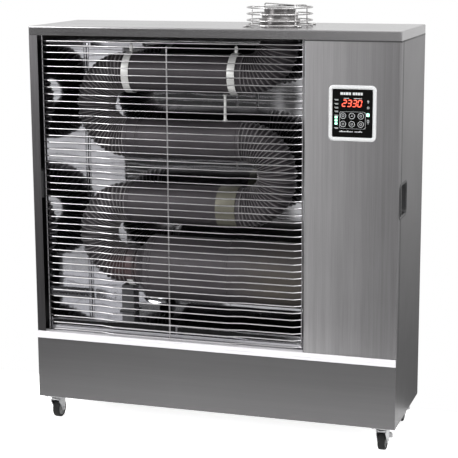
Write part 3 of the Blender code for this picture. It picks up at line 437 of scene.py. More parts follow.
def rounded(corners: Sequence[Flat], radius: float, steps: int = 3) -> list[Flat]:
    """A closed outline with its corners rounded.

    Args:
        corners: the outline's corners in order.
        radius: the corners' radius, made smaller where a side is short.
        steps: the number of chords to a corner.
    Returns:
        The outline's points.
    """
    outline = []
    total = len(corners)
    for index, corner in enumerate(corners):
        here = Vector(corner)
        before = Vector(corners[index - 1]) - here
        after = Vector(corners[(index + 1) % total]) - here
        half = before.angle(after) / 2
        reach = min(radius / tan(half), before.length * 0.45, after.length * 0.45)
        first = here + before.normalized() * reach
        last = here + after.normalized() * reach
        for step in range(steps + 1):
            share = step / steps
            outline.append(tuple(first.lerp(here, share).lerp(here.lerp(last, share), share)))
    return outline


def rectangle(width: float, height: float, radius: float, steps: int = 6) -> list[Flat]:
    """The outline of a rectangle with round corners, about its middle."""
    outline = []
    for turn, (right, up) in enumerate(((1, 1), (-1, 1), (-1, -1), (1, -1))):
        centre = (right * (width / 2 - radius), up * (height / 2 - radius))
        outline += arc(centre, radius, turn * pi / 2, (turn + 1) * pi / 2, steps)
    return outline


def middle(low: Vector, high: Vector) -> Vector:
    """The point half way between two."""
    return (low + high) / 2


def add_route(seed: bmesh.types.BMesh, route: Iterable[Sequence[float]], ring: bool = False) -> None:
    """Adds a route to a seed mesh as a chain of edges, closed on itself for a ring."""
    points = [seed.verts.new(point) for point in route]
    for pair in zip(points, points[1:]):
        seed.edges.new(pair)
    if ring:
        seed.edges.new((points[-1], points[0]))


class Shape:
    """A mesh under construction, in world metres."""

    def __init__(self) -> None:
        """Starts empty."""
        self.work = bmesh.new()
        self.slot = 0

    def loft(self, rings: Sequence[Sequence[Vector]], closed: bool = False, capped: bool = True) -> None:
        """Skins a row of rings that have the same number of points.

        Args:
            rings: the rings, in order along the skin.
            closed: whether the last ring joins the first.
            capped: whether the first and last rings are filled, where the skin isn't closed.
        """
        rows = [[self.work.verts.new(point) for point in ring] for ring in rings]
        pairs = list(zip(rows, rows[1:])) + ([(rows[-1], rows[0])] if closed else [])
        faces = []
        for lower, upper in pairs:
            for index in range(len(lower)):
                after = (index + 1) % len(lower)
                faces.append(self.work.faces.new((lower[index], lower[after], upper[after], upper[index])))
        if capped and not closed:
            faces += [self.work.faces.new(row) for row in (rows[0], rows[-1])]
        for face in faces:
            face.material_index = self.slot

    def lathe(
        self,
        profile: Sequence[Flat],
        origin: Vector,
        axis: Vector = Z_AXIS,
        steps: int = 64,
    ) -> None:
        """Turns a profile of (radius, distance along) points, as a closed loop or from pole to pole."""
        turn = axis.to_track_quat("Z", "Y")
        rings = []
        for radius, along in profile:
            rings.append([origin + turn @ Vector((*point, along)) for point in circle(radius, steps)])
        self.loft(rings, closed=profile[0][0] > 0, capped=False)

    def slab(
        self,
        outline: Sequence[Flat],
        place: Matrix,
        thickness: float,
        edge: float = 0.0,
    ) -> None:
        """A flat plate of an outline in the XY plane of a place, with its edges eased."""
        half = thickness / 2
        centre = sum((Vector(point) for point in outline), Vector((0.0, 0.0))) / len(outline)
        span = max((Vector(point) - centre).length for point in outline)
        levels = [(-half, 0.0), (half, 0.0)]
        if edge:
            levels = [(-half, edge), (edge - half, 0.0), (half - edge, 0.0), (half, edge)]
        rings = []
        for level, inset in levels:
            share = 1 - inset / span
            ring = [centre + (Vector(point) - centre) * share for point in outline]
            rings.append([place @ Vector((point.x, point.y, level)) for point in ring])
        self.loft(rings)

    def box(self, low: Vector, high: Vector, edge: float = 0.0005) -> None:
        """A box between two corners, with its upright edges rounded."""
        size = Vector(high) - Vector(low)
        centre = middle(Vector(low), Vector(high))
        outline = rectangle(size.x, size.y, max(edge, 0.00005), 3)
        self.slab(outline, Matrix.Translation(centre), size.z, edge)

    def done(self, name: str, *finishes: Finish, sharp: float = 34.0) -> bpy.types.Object:
        """Ends the shape as an object at the origin, with its faces turned outwards."""
        bmesh.ops.remove_doubles(self.work, verts=self.work.verts, dist=0.000002)
        bmesh.ops.recalc_face_normals(self.work, faces=self.work.faces)
        mesh = bpy.data.meshes.new(name)
        self.work.to_mesh(mesh)
        self.work.free()
        return link(name, mesh, finishes, sharp)


def link(
    name: str, mesh: bpy.types.Mesh, finishes: Iterable[Finish], sharp: float = 34.0
) -> bpy.types.Object:
    """Puts a mesh in the scene as an object at the origin, with its finishes."""
    mesh.materials.clear()
    for finish in finishes:
        mesh.materials.append(finish.material())
    mesh.shade_smooth()
    mesh.set_sharp_from_angle(angle=radians(sharp))
    made = bpy.data.objects.new(name, mesh)
    bpy.context.scene.collection.objects.link(made)
    return made


def fit(piece: bpy.types.Object, body: str, slot: str, *nodes: str) -> bpy.types.Object:
    """Rides a piece on its body, hides the nodes that it stands for, and reports it."""
    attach(piece, body)
    if nodes:
        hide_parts(*nodes)
    LOG.info("%s rides on %s, %d faces", piece.name, body, len(piece.data.polygons))
    return piece


def dress(finish: Finish, *nodes: str) -> None:
    """Gives frame nodes whose shape is kept their finish."""
    for name in nodes:
        frame["nodes"][name].data.materials.clear()
        frame["nodes"][name].data.materials.append(finish.material())
        LOG.info("%s wears %s", name, finish.name)


# Geometry Nodes


class Grower(Graph):
    """A Geometry Nodes tree with named inputs. It ends in Realize Instances and Set Material."""

    def __init__(self, name: str, **kinds: str) -> None:
        """Args: name: the tree's name. kinds: each input's socket kind, such as Float, by its name."""
        super().__init__(bpy.data.node_groups.new(name, "GeometryNodeTree"))
        for label, kind in {"Geometry": "Geometry", "Material": "Material", **kinds}.items():
            self.tree.interface.new_socket(label, in_out="INPUT", socket_type=f"NodeSocket{kind}")
        self.tree.interface.new_socket("Geometry", in_out="OUTPUT", socket_type="NodeSocketGeometry")
        self.given = self.add("NodeGroupInput").outputs

    def end(self, geometry: bpy.types.NodeSocket) -> None:
        """Closes the tree over its last geometry."""
        real = self.add("GeometryNodeRealizeInstances", {0: geometry}).outputs[0]
        looks = {"Geometry": real, "Material": self.given["Material"]}
        self.add("NodeGroupOutput", {0: self.add("GeometryNodeSetMaterial", looks).outputs[0]})

    def grow(self, name: str, seed: bmesh.types.BMesh, finish: Finish, wall: float = 0.0, **values: object):
        """Runs the tree on a seed mesh and keeps the result as a plain mesh.

        Args:
            name: the piece's name.
            seed: the mesh that the tree starts from. It is used up.
            finish: the piece's finish.
            wall: a thickness to give the result on its inner side, or 0.
            values: the tree's inputs by name.
        Returns:
            The piece.
        """
        start = bpy.data.meshes.new(name)
        seed.to_mesh(start)
        seed.free()
        host = bpy.data.objects.new(name + "_seed", start)
        bpy.context.scene.collection.objects.link(host)
        growth = host.modifiers.new("growth", "NODES")
        growth.node_group = self.tree
        for item in self.tree.interface.items_tree:
            if item.in_out == "INPUT" and item.name in values:
                growth[item.identifier] = values[item.name]
            if item.name == "Material":
                growth[item.identifier] = finish.material()
        if wall:
            shell = host.modifiers.new("wall", "SOLIDIFY")
            shell.thickness = wall
            shell.offset = -1.0
        graph = bpy.context.evaluated_depsgraph_get()
        mesh = bpy.data.meshes.new_from_object(host.evaluated_get(graph))
        bpy.data.objects.remove(host)
        mesh.name = name
        return link(name, mesh, (finish,))


class WireGrower(Grower):
    """Round wire along the edges of the seed, with its corners bent to a radius."""

    def __init__(self) -> None:
        """Builds the tree."""
        super().__init__("bent_wire", Gauge="Float", Bend="Float", Sides="Int")
        line = self.add("GeometryNodeMeshToCurve", {0: self.given["Geometry"]}).outputs[0]
        bend = {"Curve": line, "Radius": self.given["Bend"], "Count": 4, "Limit Radius": True}
        bent = self.add("GeometryNodeFilletCurve", bend, mode="POLY").outputs[0]
        section = {"Radius": self.given["Gauge"], "Resolution": self.given["Sides"]}
        hoop = self.add("GeometryNodeCurvePrimitiveCircle", section).outputs[0]
        swept = {"Curve": bent, "Profile Curve": hoop, "Fill Caps": True}
        self.end(self.add("GeometryNodeCurveToMesh", swept).outputs[0])

    def draw(self, name: str, routes: Iterable[Sequence[Vector]], finish: Finish, gauge: float, bend: float,
             sides: int = 10, ring: bool = False) -> bpy.types.Object:
        """Wires along routes.

        Args:
            name: the piece's name.
            routes: each wire's corners.
            finish: the wire's finish.
            gauge: its radius.
            bend: the radius of its bends.
            sides: the sides of its section.
            ring: whether each wire closes on itself.
        Returns:
            The piece.
        """
        seed = bmesh.new()
        for route in routes:
            add_route(seed, route, ring)
        return self.grow(name, seed, finish, Gauge=gauge, Bend=bend, Sides=sides)


class RibGrower(Grower):
    """A tube with sharp folds along the seed's edges."""

    def __init__(self) -> None:
        """Builds the tree: the radius peaks once for each rib, and the crests are marked for the finish's
        painted highlight.
        """
        super().__init__("corrugated_tube", Radius="Float", Swell="Float", Ribs="Int", Sides="Int")
        line = self.add("GeometryNodeMeshToCurve", {0: self.given["Geometry"]}).outputs[0]
        count = self.math("ADD", self.math("MULTIPLY", self.given["Ribs"], 8.0), 1.0)
        even = self.add("GeometryNodeResampleCurve", {"Curve": line, "Count": count}).outputs[0]
        along = self.add("GeometryNodeSplineParameter").outputs["Factor"]
        phase = self.math("MULTIPLY", self.math("MULTIPLY", along, self.given["Ribs"]), pi)
        fold = self.math("SUBTRACT", 1.0, self.math("ABSOLUTE", self.math("SINE", phase)))
        radius = self.math("ADD", self.given["Radius"], self.math("MULTIPLY", fold, self.given["Swell"]))
        marked = {"Geometry": even, "Name": "crest", "Value": self.math("POWER", fold, 3.0)}
        crests = self.add("GeometryNodeStoreNamedAttribute", marked, data_type="FLOAT", domain="POINT")
        section = {"Radius": 1.0, "Resolution": self.given["Sides"]}
        hoop = self.add("GeometryNodeCurvePrimitiveCircle", section).outputs[0]
        swept = {"Curve": crests.outputs[0], "Profile Curve": hoop, "Scale": radius, "Fill Caps": False}
        self.end(self.add("GeometryNodeCurveToMesh", swept).outputs[0])


class CopyGrower(Grower):
    """Copies of the seed, each stepped and turned on from the last."""

    def __init__(self) -> None:
        """Builds the tree."""
        super().__init__(
            "repeated_shape", Count="Int", Step="Vector", Axis="Vector", Turn="Float", Centre="Vector"
        )
        places = {"Count": self.given["Count"], "Offset": self.given["Step"]}
        line = self.add("GeometryNodeMeshLine", places, mode="OFFSET").outputs[0]
        index = self.add("GeometryNodeInputIndex").outputs[0]
        angle = self.math("MULTIPLY", index, self.given["Turn"])
        about = {"Axis": self.given["Axis"], "Angle": angle}
        turn = self.add("FunctionNodeAxisAngleToRotation", about).outputs[0]
        copies = {"Points": line, "Instance": self.given["Geometry"], "Rotation": turn}
        spread = self.add("GeometryNodeInstanceOnPoints", copies).outputs[0]
        moved = {"Geometry": spread, "Translation": self.given["Centre"]}
        self.end(self.add("GeometryNodeTransform", moved).outputs[0])

    def round(
        self, name: str, shape: "Shape", finish: Finish, count: int, axis: Vector, centre: Sequence[float]
    ) -> bpy.types.Object:
        """Even copies of a shape all the way round an axis."""
        still = (0.0, 0.0, 0.0)
        return self.grow(
            name, shape.work, finish, Centre=centre, Count=count, Step=still, Axis=axis, Turn=tau / count
        )


class ScrewGrower(Grower):
    """One fastener at each point of the seed, facing along the point's own direction, turned at random."""

    def __init__(self) -> None:
        """Builds the tree."""
        super().__init__("scattered_fasteners", Fastener="Object", Seed="Int")
        named = {"Name": "facing"}
        facing = self.add("GeometryNodeInputNamedAttribute", named, data_type="FLOAT_VECTOR").outputs[0]
        aim = self.add("FunctionNodeAlignRotationToVector", {"Vector": facing}, axis="Z").outputs[0]
        chance = {"Max": tau, "Seed": self.given["Seed"]}
        angle = self.add("FunctionNodeRandomValue", chance, data_type="FLOAT").outputs[1]
        spin = self.add("FunctionNodeAxisAngleToRotation", {"Angle": angle}).outputs[0]
        turned = {"Rotation": aim, "Rotate By": spin}
        both = self.add("FunctionNodeRotateRotation", turned, rotation_space="LOCAL").outputs[0]
        head = self.add("GeometryNodeObjectInfo", {"Object": self.given["Fastener"]}).outputs["Geometry"]
        copies = {"Points": self.given["Geometry"], "Instance": head, "Rotation": both}
        self.end(self.add("GeometryNodeInstanceOnPoints", copies).outputs[0])

    def place(self, name: str, spots: Iterable[tuple[Vector, Vector]], head: bpy.types.Object, finish: Finish,
              seed: int = 7) -> bpy.types.Object:
        """Fasteners at (point, direction) spots."""
        points = bmesh.new()
        layer = points.verts.layers.float_vector.new("facing")
        for point, facing in spots:
            points.verts.new(point)[layer] = facing
        return self.grow(name, points, finish, Fastener=head, Seed=seed)


@dataclass
class Workshop:
    """The trees and the loose fasteners that every sub-assembly shares."""

    wires: WireGrower = field(default_factory=WireGrower)
    ribs: RibGrower = field(default_factory=RibGrower)
    copies: CopyGrower = field(default_factory=CopyGrower)
    screws: ScrewGrower = field(default_factory=ScrewGrower)

    def pan_head(self, name: str, radius: float, finish: Finish) -> bpy.types.Object:
        """A pan head with a cross recess, pointing along Z from the origin."""
        shape = Shape()
        height = radius * 0.62
        dome = arc((0.0, 0.0), 1.0, pi / 2, 0.0, 5)
        profile = [(radius * u, height * (0.25 + 0.75 * v)) for u, v in dome] + [(radius, 0.0), (0.0, 0.0)]
        shape.lathe(profile, Vector((0.0, 0.0, 0.0)), steps=18)
        for turn in (0.0, pi / 2):
            place = Matrix.Translation((0.0, 0.0, height * 0.93)) @ Matrix.Rotation(turn, 4, "Z")
            shape.slab(rectangle(radius * 1.1, radius * 0.22, radius * 0.05, 1), place, height * 0.2)
        return self.hidden(shape.done(name, finish))

    def hex_head(self, name: str, radius: float, finish: Finish) -> bpy.types.Object:
        """A hexagon head on a washer, pointing along Z from the origin."""
        shape = Shape()
        rim = radius * 1.5
        thick = radius * 0.2
        washer = rounded([(0.001, 0.0), (rim, 0.0), (rim, thick), (0.001, thick)], 0.0001)
        shape.lathe(washer, Vector((0.0, 0.0, 0.0)), steps=20)
        place = Matrix.Translation((0.0, 0.0, radius * 0.5))
        shape.slab(circle(radius, 6), place, radius * 0.62, radius * 0.08)
        return self.hidden(shape.done(name, finish))

    def hidden(self, tool: bpy.types.Object) -> bpy.types.Object:
        """Keeps a pattern out of sight and out of the object."""
        tool.hide_render = True
        tool.hide_viewport = False
        return tool


# Sub-assemblies


@dataclass
class Cabinet:
    """Sheet panels, the trim bar and the screws that hold them.

    Attributes:
        shop: the shared trees.
        screw: a panel screw's radius.
        inset: how far the screws sit from a panel's edge.
    """

    shop: Workshop
    screw: float = 0.0034
    inset: float = 0.012

    def build(self) -> None:
        """Dresses the panels and fits the screws."""
        dress(COLUMN_SHEET, "control_column_panel")
        dress(SIDE_SHEET, "left_side_panel", "right_side_panel", "rear_panel")
        dress(LID_SHEET, "lid")
        dress(SKIRT_SHEET, "lower_front_panel")
        dress(TRIM, "trim_bar")
        dress(PAINT, "base_plate")
        head = self.shop.pan_head("panel_screw_head", self.screw, ZINC)
        spots = [*self.rear_spots(), *self.side_spots()]
        fit(self.shop.screws.place("panel_screws", spots, head, ZINC), CABINET, "zinc_plate")
        self.build_louvres()
        self.build_seams()

    def build_seams(self) -> None:
        """The dark gaps under the lid and behind the control column's folded edge."""
        low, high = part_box("right_side_panel")
        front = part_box("control_column_panel")[0]
        seams = Shape()
        inside = high.x - 0.001
        outside = high.x + 0.0002
        top = high.z + 0.0003
        for start, end in (
            ((inside, front.y + 0.0240, front.z), (outside, front.y + 0.0315, high.z)),
            ((inside, low.y, high.z - 0.0035), (outside, high.y, top)),
            ((front.x, front.y - 0.0002, high.z - 0.0030), (high.x, front.y + 0.0010, top)),
        ):
            seams.box(start, end, 0.0001)
        fit(seams.done("panel_seams", PLASTIC), CABINET, "black_plastic")

    def rear_spots(self) -> Iterable[tuple[Vector, Vector]]:
        """Screws round the rear panel, sunk so that their crowns stay level with it."""
        low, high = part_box("rear_panel")
        y = high.y - self.screw * 0.68
        rows = 6
        for side in (low.x + self.inset, high.x - self.inset):
            for row in range(rows):
                z = low.z + self.inset + (high.z - low.z - 2 * self.inset) * row / (rows - 1)
                yield Vector((side, y, z)), Y_AXIS
        for x in (-0.24, 0.0, 0.24):
            for z in (low.z + self.inset, high.z - self.inset):
                yield Vector((x, y, z)), Y_AXIS

    def side_spots(self) -> Iterable[tuple[Vector, Vector]]:
        """Screws along the foot of both sides, sunk like the rear ones."""
        for name, side in (("left_side_panel", -1), ("right_side_panel", 1)):
            low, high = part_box(name)
            x = (low.x if side < 0 else high.x) - side * self.screw * 0.55
            for y in (low.y + 0.03, high.y - 0.03):
                yield Vector((x, y, low.z + self.inset)), X_AXIS * side

    def build_louvres(self) -> None:
        """Hoods pressed inwards behind the rear panel's air slots."""
        low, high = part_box("rear_panel")
        shape = Shape()
        depth = 0.007
        height = 0.011
        section = arc((0.0, 0.0), 1.0, -pi / 2, pi / 2, 8)
        rings = []
        ends = ((0.300, 0.25), (0.306, 0.8), (0.315, 1.0), (0.415, 1.0), (0.424, 0.8), (0.430, 0.25))
        for x, share in ends:
            outer = [Vector((x, high.y - 0.0014 - depth * share * u, height / 2 * v)) for u, v in section]
            inner = [point + Vector((0.0, 0.0008, 0.0)) for point in reversed(outer)]
            rings.append(outer + inner)
        shape.loft(rings)
        values = {"Count": 8, "Step": (0.0, 0.0, 0.016), "Axis": X_AXIS, "Turn": 0.0}
        centre = (0.0, 0.0, low.z + 0.2825)
        hoods = self.shop.copies.grow("air_slot_hoods", shape.work, SIDE_SHEET, Centre=centre, **values)
        fit(hoods, CABINET, "brushed_panel")


@dataclass
class ReflectorBox:
    """The polished sheets round the tubes, with their overlaps and small screws.

    Attributes:
        shop: the shared trees.
        screw: a sheet screw's radius.
    """

    shop: Workshop
    screw: float = 0.0023

    def build(self) -> None:
        """Dresses the sheets, and adds the lapped strips and their screws."""
        dress(MIRROR, "left_reflector", "back_reflector", "floor_reflector", "ceiling_shield", "partition")
        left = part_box("left_reflector")[0].x
        low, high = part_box("back_reflector")
        back = low.y
        top = high.z
        right = high.x - 0.002
        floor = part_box("floor_reflector")[1].z
        laps = Shape()
        for bottom, end in ((top - 0.0335, top - 0.0005), (floor - 0.0005, floor + 0.0150)):
            laps.box((left + 0.003, back - 0.0012, bottom), (right, back - 0.0003, end))
        laps.box((left + 0.0016, back - 0.016, floor), (left + 0.0024, back - 0.0012, top - 0.001))
        fit(laps.done("reflector_laps", MIRROR), CABINET, "polished_sheet")
        spots = []
        for x in (left + 0.020, left + 0.038, left + 0.075, -0.16, 0.0, 0.16):
            spots.append((Vector((x, back - 0.0012, top - 0.017)), -Y_AXIS))
            spots.append((Vector((x, back - 0.0012, floor + 0.0075)), -Y_AXIS))
        for z in (0.27, 0.45, 0.62, 0.78, 0.93):
            spots.append((Vector((left + 0.0024, back - 0.009, z + 0.02)), X_AXIS))
        for x in (left + 0.030, left + 0.070, left + 0.110):
            spots.append((Vector((x, back - 0.030, floor)), Z_AXIS))
        head = self.shop.pan_head("sheet_screw_head", self.screw, CAGE_WIRE)
        screws = self.shop.screws.place("reflector_screws", spots, head, CAGE_WIRE)
        fit(screws, CABINET, "zinc_plate")


@dataclass
class Guard:
    """Cranked horizontal wires on three upright rods.

    Attributes:
        shop: the shared trees.
        gauge: a wire's radius.
        rod: a rod's radius.
        count: the wires in the even ladder.
        crank: how far in from a rod the wire reaches its front plane.
        step: half the width of the proud middle.
        run: the length of the step down from the middle.
    """

    shop: Workshop
    gauge: float = 0.0015
    rod: float = 0.0020
    count: int = 43
    crank: float = 0.0195
    step: float = 0.157
    run: float = 0.040

    def build(self) -> None:
        """Draws the wires and the rods in place of the plain guard."""
        low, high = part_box("guard_grille")
        centre = middle(low, high)
        spread = (high.x - low.x) / 2 - self.rod
        proud = low.y + self.gauge
        front = proud + 0.0085
        back = high.y - self.rod
        bottom = low.z + 0.0049
        top = bottom + 0.752
        turn = spread - self.crank
        half = ((spread, back), (turn, front), (self.step + self.run, front), (self.step, proud))
        plan = [(-x, y) for x, y in half] + [(x, y) for x, y in reversed(half)]
        pitch = (top - bottom) / (self.count - 1)
        heights = [bottom + pitch * row for row in range(self.count)] + [top + 0.0115]
        routes = [[Vector((centre.x + x, y, z)) for x, y in plan] for z in heights]
        wires = self.shop.wires.draw("guard_wires", routes, WIRE, self.gauge, 0.009)
        fit(wires, CABINET, "bright_wire", "guard_grille")
        behind = proud + self.rod + self.gauge * 0.4
        plans = [(centre.x + side * spread, back, high.z) for side in (-1, 1)]
        plans.append((centre.x, behind, top + 0.003))
        rods = [[Vector((x, y, low.z)), Vector((x, y, end))] for x, y, end in plans]
        fit(self.shop.wires.draw("guard_rods", rods, WIRE, self.rod, 0.001, 14), CABINET, "bright_wire")


@dataclass
class TubeBank:
    """The serpentine: straight tubes, return bends, the flue elbow, the chamber and their holders.

    Attributes:
        shop: the shared trees.
        wall: the tube's wall.
        ribs: the ribs of a return bend.
        swell: how far a rib stands above its valley.
    """

    shop: Workshop
    wall: float = 0.0012
    ribs: int = 34
    swell: float = 0.0050

    def build(self) -> None:
        """Makes every tube piece in place of its plain one."""
        self.radius = (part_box("second_tube")[1].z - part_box("second_tube")[0].z) / 2
        self.y = middle(*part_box("second_tube")).y
        self.build_straight("top_tube", ())
        self.build_straight("second_tube", (0.026, 0.032))
        self.build_straight("third_tube", ())
        for name, side in (("upper_left_bend", -1), ("right_bend", 1), ("lower_left_bend", -1)):
            self.build_bend(name, side)
        self.build_elbow()
        self.build_sleeve()
        self.build_chamber()
        self.build_holders()

    def build_straight(self, name: str, beads: Sequence[float]) -> None:
        """A rolled tube with a bead near each end and any more at distances from its left end."""
        low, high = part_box(name)
        length = high.x - low.x
        places = sorted([0.010, *(0.010 + bead for bead in beads), length - 0.012])
        outer = [(self.radius - 0.0004, 0.0)]
        for place in places:
            outer += swell(self.radius - 0.0008, place, (0.0012, 0.0022), pi, 0.0, 5)
        outer.append((self.radius - 0.0004, length))
        inner = [(self.radius - self.wall - 0.0006, length), (self.radius - self.wall - 0.0006, 0.0)]
        shape = Shape()
        shape.lathe(outer + inner, Vector((low.x, self.y, middle(low, high).z)), X_AXIS, 72)
        fit(shape.done(name + "_shell", TUBE, sharp=50), CABINET, "hot_tube", name)

    def build_bend(self, name: str, side: int) -> None:
        """A corrugated half turn that opens to the right or, for side -1, to the left."""
        low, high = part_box(name)
        radius = (high.z - low.z) / 2 - self.radius
        centre_z = middle(low, high).z
        turn_x = (high.x if side > 0 else low.x) - side * (radius + self.radius)
        start_x = low.x if side > 0 else high.x
        turns = sweep(-pi / 2, pi / 2)
        curve = [(turn_x + side * radius * cos(turn), centre_z + radius * sin(turn)) for turn in turns]
        route = [(start_x, curve[0][1]), *curve, (turn_x - side * 0.004, curve[-1][1])]
        self.corrugate(name, route, self.ribs)

    def corrugate(self, name: str, route: Sequence[Flat], ribs: int) -> None:
        """A corrugated tube along an (x, z) route in the tubes' plane."""
        seed = bmesh.new()
        add_route(seed, [(x, self.y, z) for x, z in route])
        sizes = {"Radius": self.radius - self.swell, "Swell": self.swell, "Ribs": ribs, "Sides": 64}
        piece = self.shop.ribs.grow(name + "_bellows", seed, TUBE, wall=self.wall, **sizes)
        fit(piece, CABINET, "hot_tube", name)

    def build_elbow(self) -> None:
        """The quarter turn up to the flue."""
        low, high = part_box("flue_elbow")
        flue_x = middle(*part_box("flue_collar")).x
        top_z = middle(*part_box("top_tube")).z
        radius = 0.087
        curve = arc((flue_x - radius, top_z + radius), radius, -pi / 2, 0.0, 48)
        self.corrugate("flue_elbow", [(low.x, top_z), *curve, (flue_x, high.z)], self.ribs // 2)

    def build_sleeve(self) -> None:
        """A straw-coloured coupling over the right end of the third tube."""
        low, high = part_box("third_tube")
        outer = self.radius + 0.0022
        start = high.x - 0.064
        corners = [(outer, 0.053), (outer, 0.0), (self.radius - 0.0002, 0.0), (self.radius - 0.0002, 0.053)]
        shape = Shape()
        shape.lathe(rounded(corners, 0.0008, 2), Vector((start, self.y, middle(low, high).z)), X_AXIS, 72)
        fit(shape.done("coupling_sleeve", SLEEVE), CABINET, "hot_tube")

    def build_chamber(self) -> None:
        """The drum, its cone, a rolled rim where they meet, the burner flange and its bolts."""
        low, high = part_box("combustion_chamber")
        length = high.x - low.x
        flange = (high.z - low.z) / 2
        drum = flange - 0.012
        cone = 0.038
        origin = Vector((low.x, self.y, middle(low, high).z))
        outer = [(self.radius, 0.0), (self.radius + 0.001, 0.004)]
        for step in range(1, 9):
            flare = (drum - self.radius) * sin(step * pi / 16) ** 2
            outer.append((self.radius + flare, 0.006 + (cone - 0.008) * step / 8))
        for place in (cone + 0.004, cone + 0.012, length * 0.52, length - 0.030):
            outer += swell(drum - 0.0008, place, (0.0012, 0.0026), pi, 0.0, 5)
        seat = length - 0.003
        outer += [(drum - 0.0006, length - 0.004), (drum, seat), (flange, seat), (flange, length)]
        inner = [(drum - 0.002, length), (drum - 0.002, cone), (self.radius - 0.002, 0.0)]
        shape = Shape()
        shape.lathe(outer + inner, origin, X_AXIS, 96)
        fit(shape.done("chamber_drum", TUBE, sharp=50), CABINET, "hot_tube", "combustion_chamber")
        head = self.shop.hex_head("flange_bolt_head", 0.0036, ZINC)
        spots = [(origin + Vector((seat, *point)), -X_AXIS) for point in circle(drum + 0.006, 8)]
        fit(self.shop.screws.place("chamber_bolts", spots, head, ZINC), CABINET, "zinc_plate")

    def build_holders(self) -> None:
        """Straps with their lugs and hangers, the strut between two tubes and the chamber's post."""
        head = self.shop.hex_head("strap_bolt_head", 0.0028, BAND)
        spots = []
        for name in ("left_hanger_strap", "right_hanger_strap"):
            low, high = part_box(name)
            x = middle(low, high).x
            centre = Vector((x, self.y, middle(*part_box("top_tube")).z))
            shape = Shape()
            self.band(shape, centre, high.x - low.x)
            for step in (-1, 1):
                lug = centre + Vector((0.0, step * 0.0022, self.radius + 0.010))
                plate = Matrix.Translation(lug) @ Matrix.Rotation(pi / 2, 4, "X")
                shape.slab(rectangle(0.008, 0.019, 0.003), plate, 0.0014, 0.0003)
            fit(shape.done(name + "_band", BAND), CABINET, "satin_trim", name)
            spots.append((centre + Vector((0, -0.0029, self.radius + 0.013)), -Y_AXIS))
            hanger = [centre + Vector((0, 0, self.radius + 0.004)), Vector((x, self.y, high.z))]
            rod = self.shop.wires.draw(name + "_rod", [hanger], ZINC, 0.0017, 0.001, 12)
            fit(rod, CABINET, "satin_trim")
        low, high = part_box("tube_strut")
        shape = Shape()
        length = high.z - low.z
        foot = [(0.0001, 0.0), (0.006, 0.0), (0.006, 0.002), (0.0038, 0.004)]
        profile = foot + [(radius, length - along) for radius, along in reversed(foot)]
        centre = middle(low, high)
        shape.lathe(profile, Vector((centre.x, centre.y, low.z)), steps=32)
        fit(shape.done("tube_strut_bar", BAND), CABINET, "satin_trim", "tube_strut")
        low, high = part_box("chamber_support")
        centre = Vector((high.x - 0.009, self.y, middle(*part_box("combustion_chamber")).z))
        shape = Shape()
        self.band(shape, centre, 0.018)
        fit(shape.done("chamber_strap", TUBE), CABINET, "hot_tube")
        saddle = Shape()
        section = ((-0.0088, 0.0024), (0.0088, 0.0024), (0.0088, 0.0030), (-0.0088, 0.0030))
        rings = []
        for angle in sweep(radians(214), radians(274), 12):
            rim = Vector((0.0, cos(angle), sin(angle)))
            rings.append([centre + X_AXIS * x + rim * (self.radius + lift) for x, lift in section])
        saddle.loft(rings)
        fit(saddle.done("chamber_saddle", BAND), CABINET, "satin_trim")
        post = Shape()
        top = centre.z - self.radius - 0.0015
        right = low.x + 0.036
        post.box((low.x, self.y - 0.020, low.z), (right, self.y + 0.020, top), 0.003)
        shoe = low.z + 0.003
        post.box((low.x - 0.005, self.y - 0.024, low.z), (right + 0.005, self.y + 0.024, shoe), 0.001)
        fit(post.done("chamber_post", PAINT), CABINET, "painted_steel", "chamber_support")
        fit(self.shop.screws.place("strap_bolts", spots, head, BAND), CABINET, "satin_trim")

    def band(self, shape: Shape, centre: Vector, width: float) -> None:
        """A strap round a tube, its edges rolled."""
        inside = self.radius + 0.0008
        outside = self.radius + 0.0024
        corners = [(outside, width), (outside, 0.0), (inside, 0.0), (inside, width)]
        shape.lathe(rounded(corners, 0.0005, 2), centre - X_AXIS * width / 2, X_AXIS, 72)


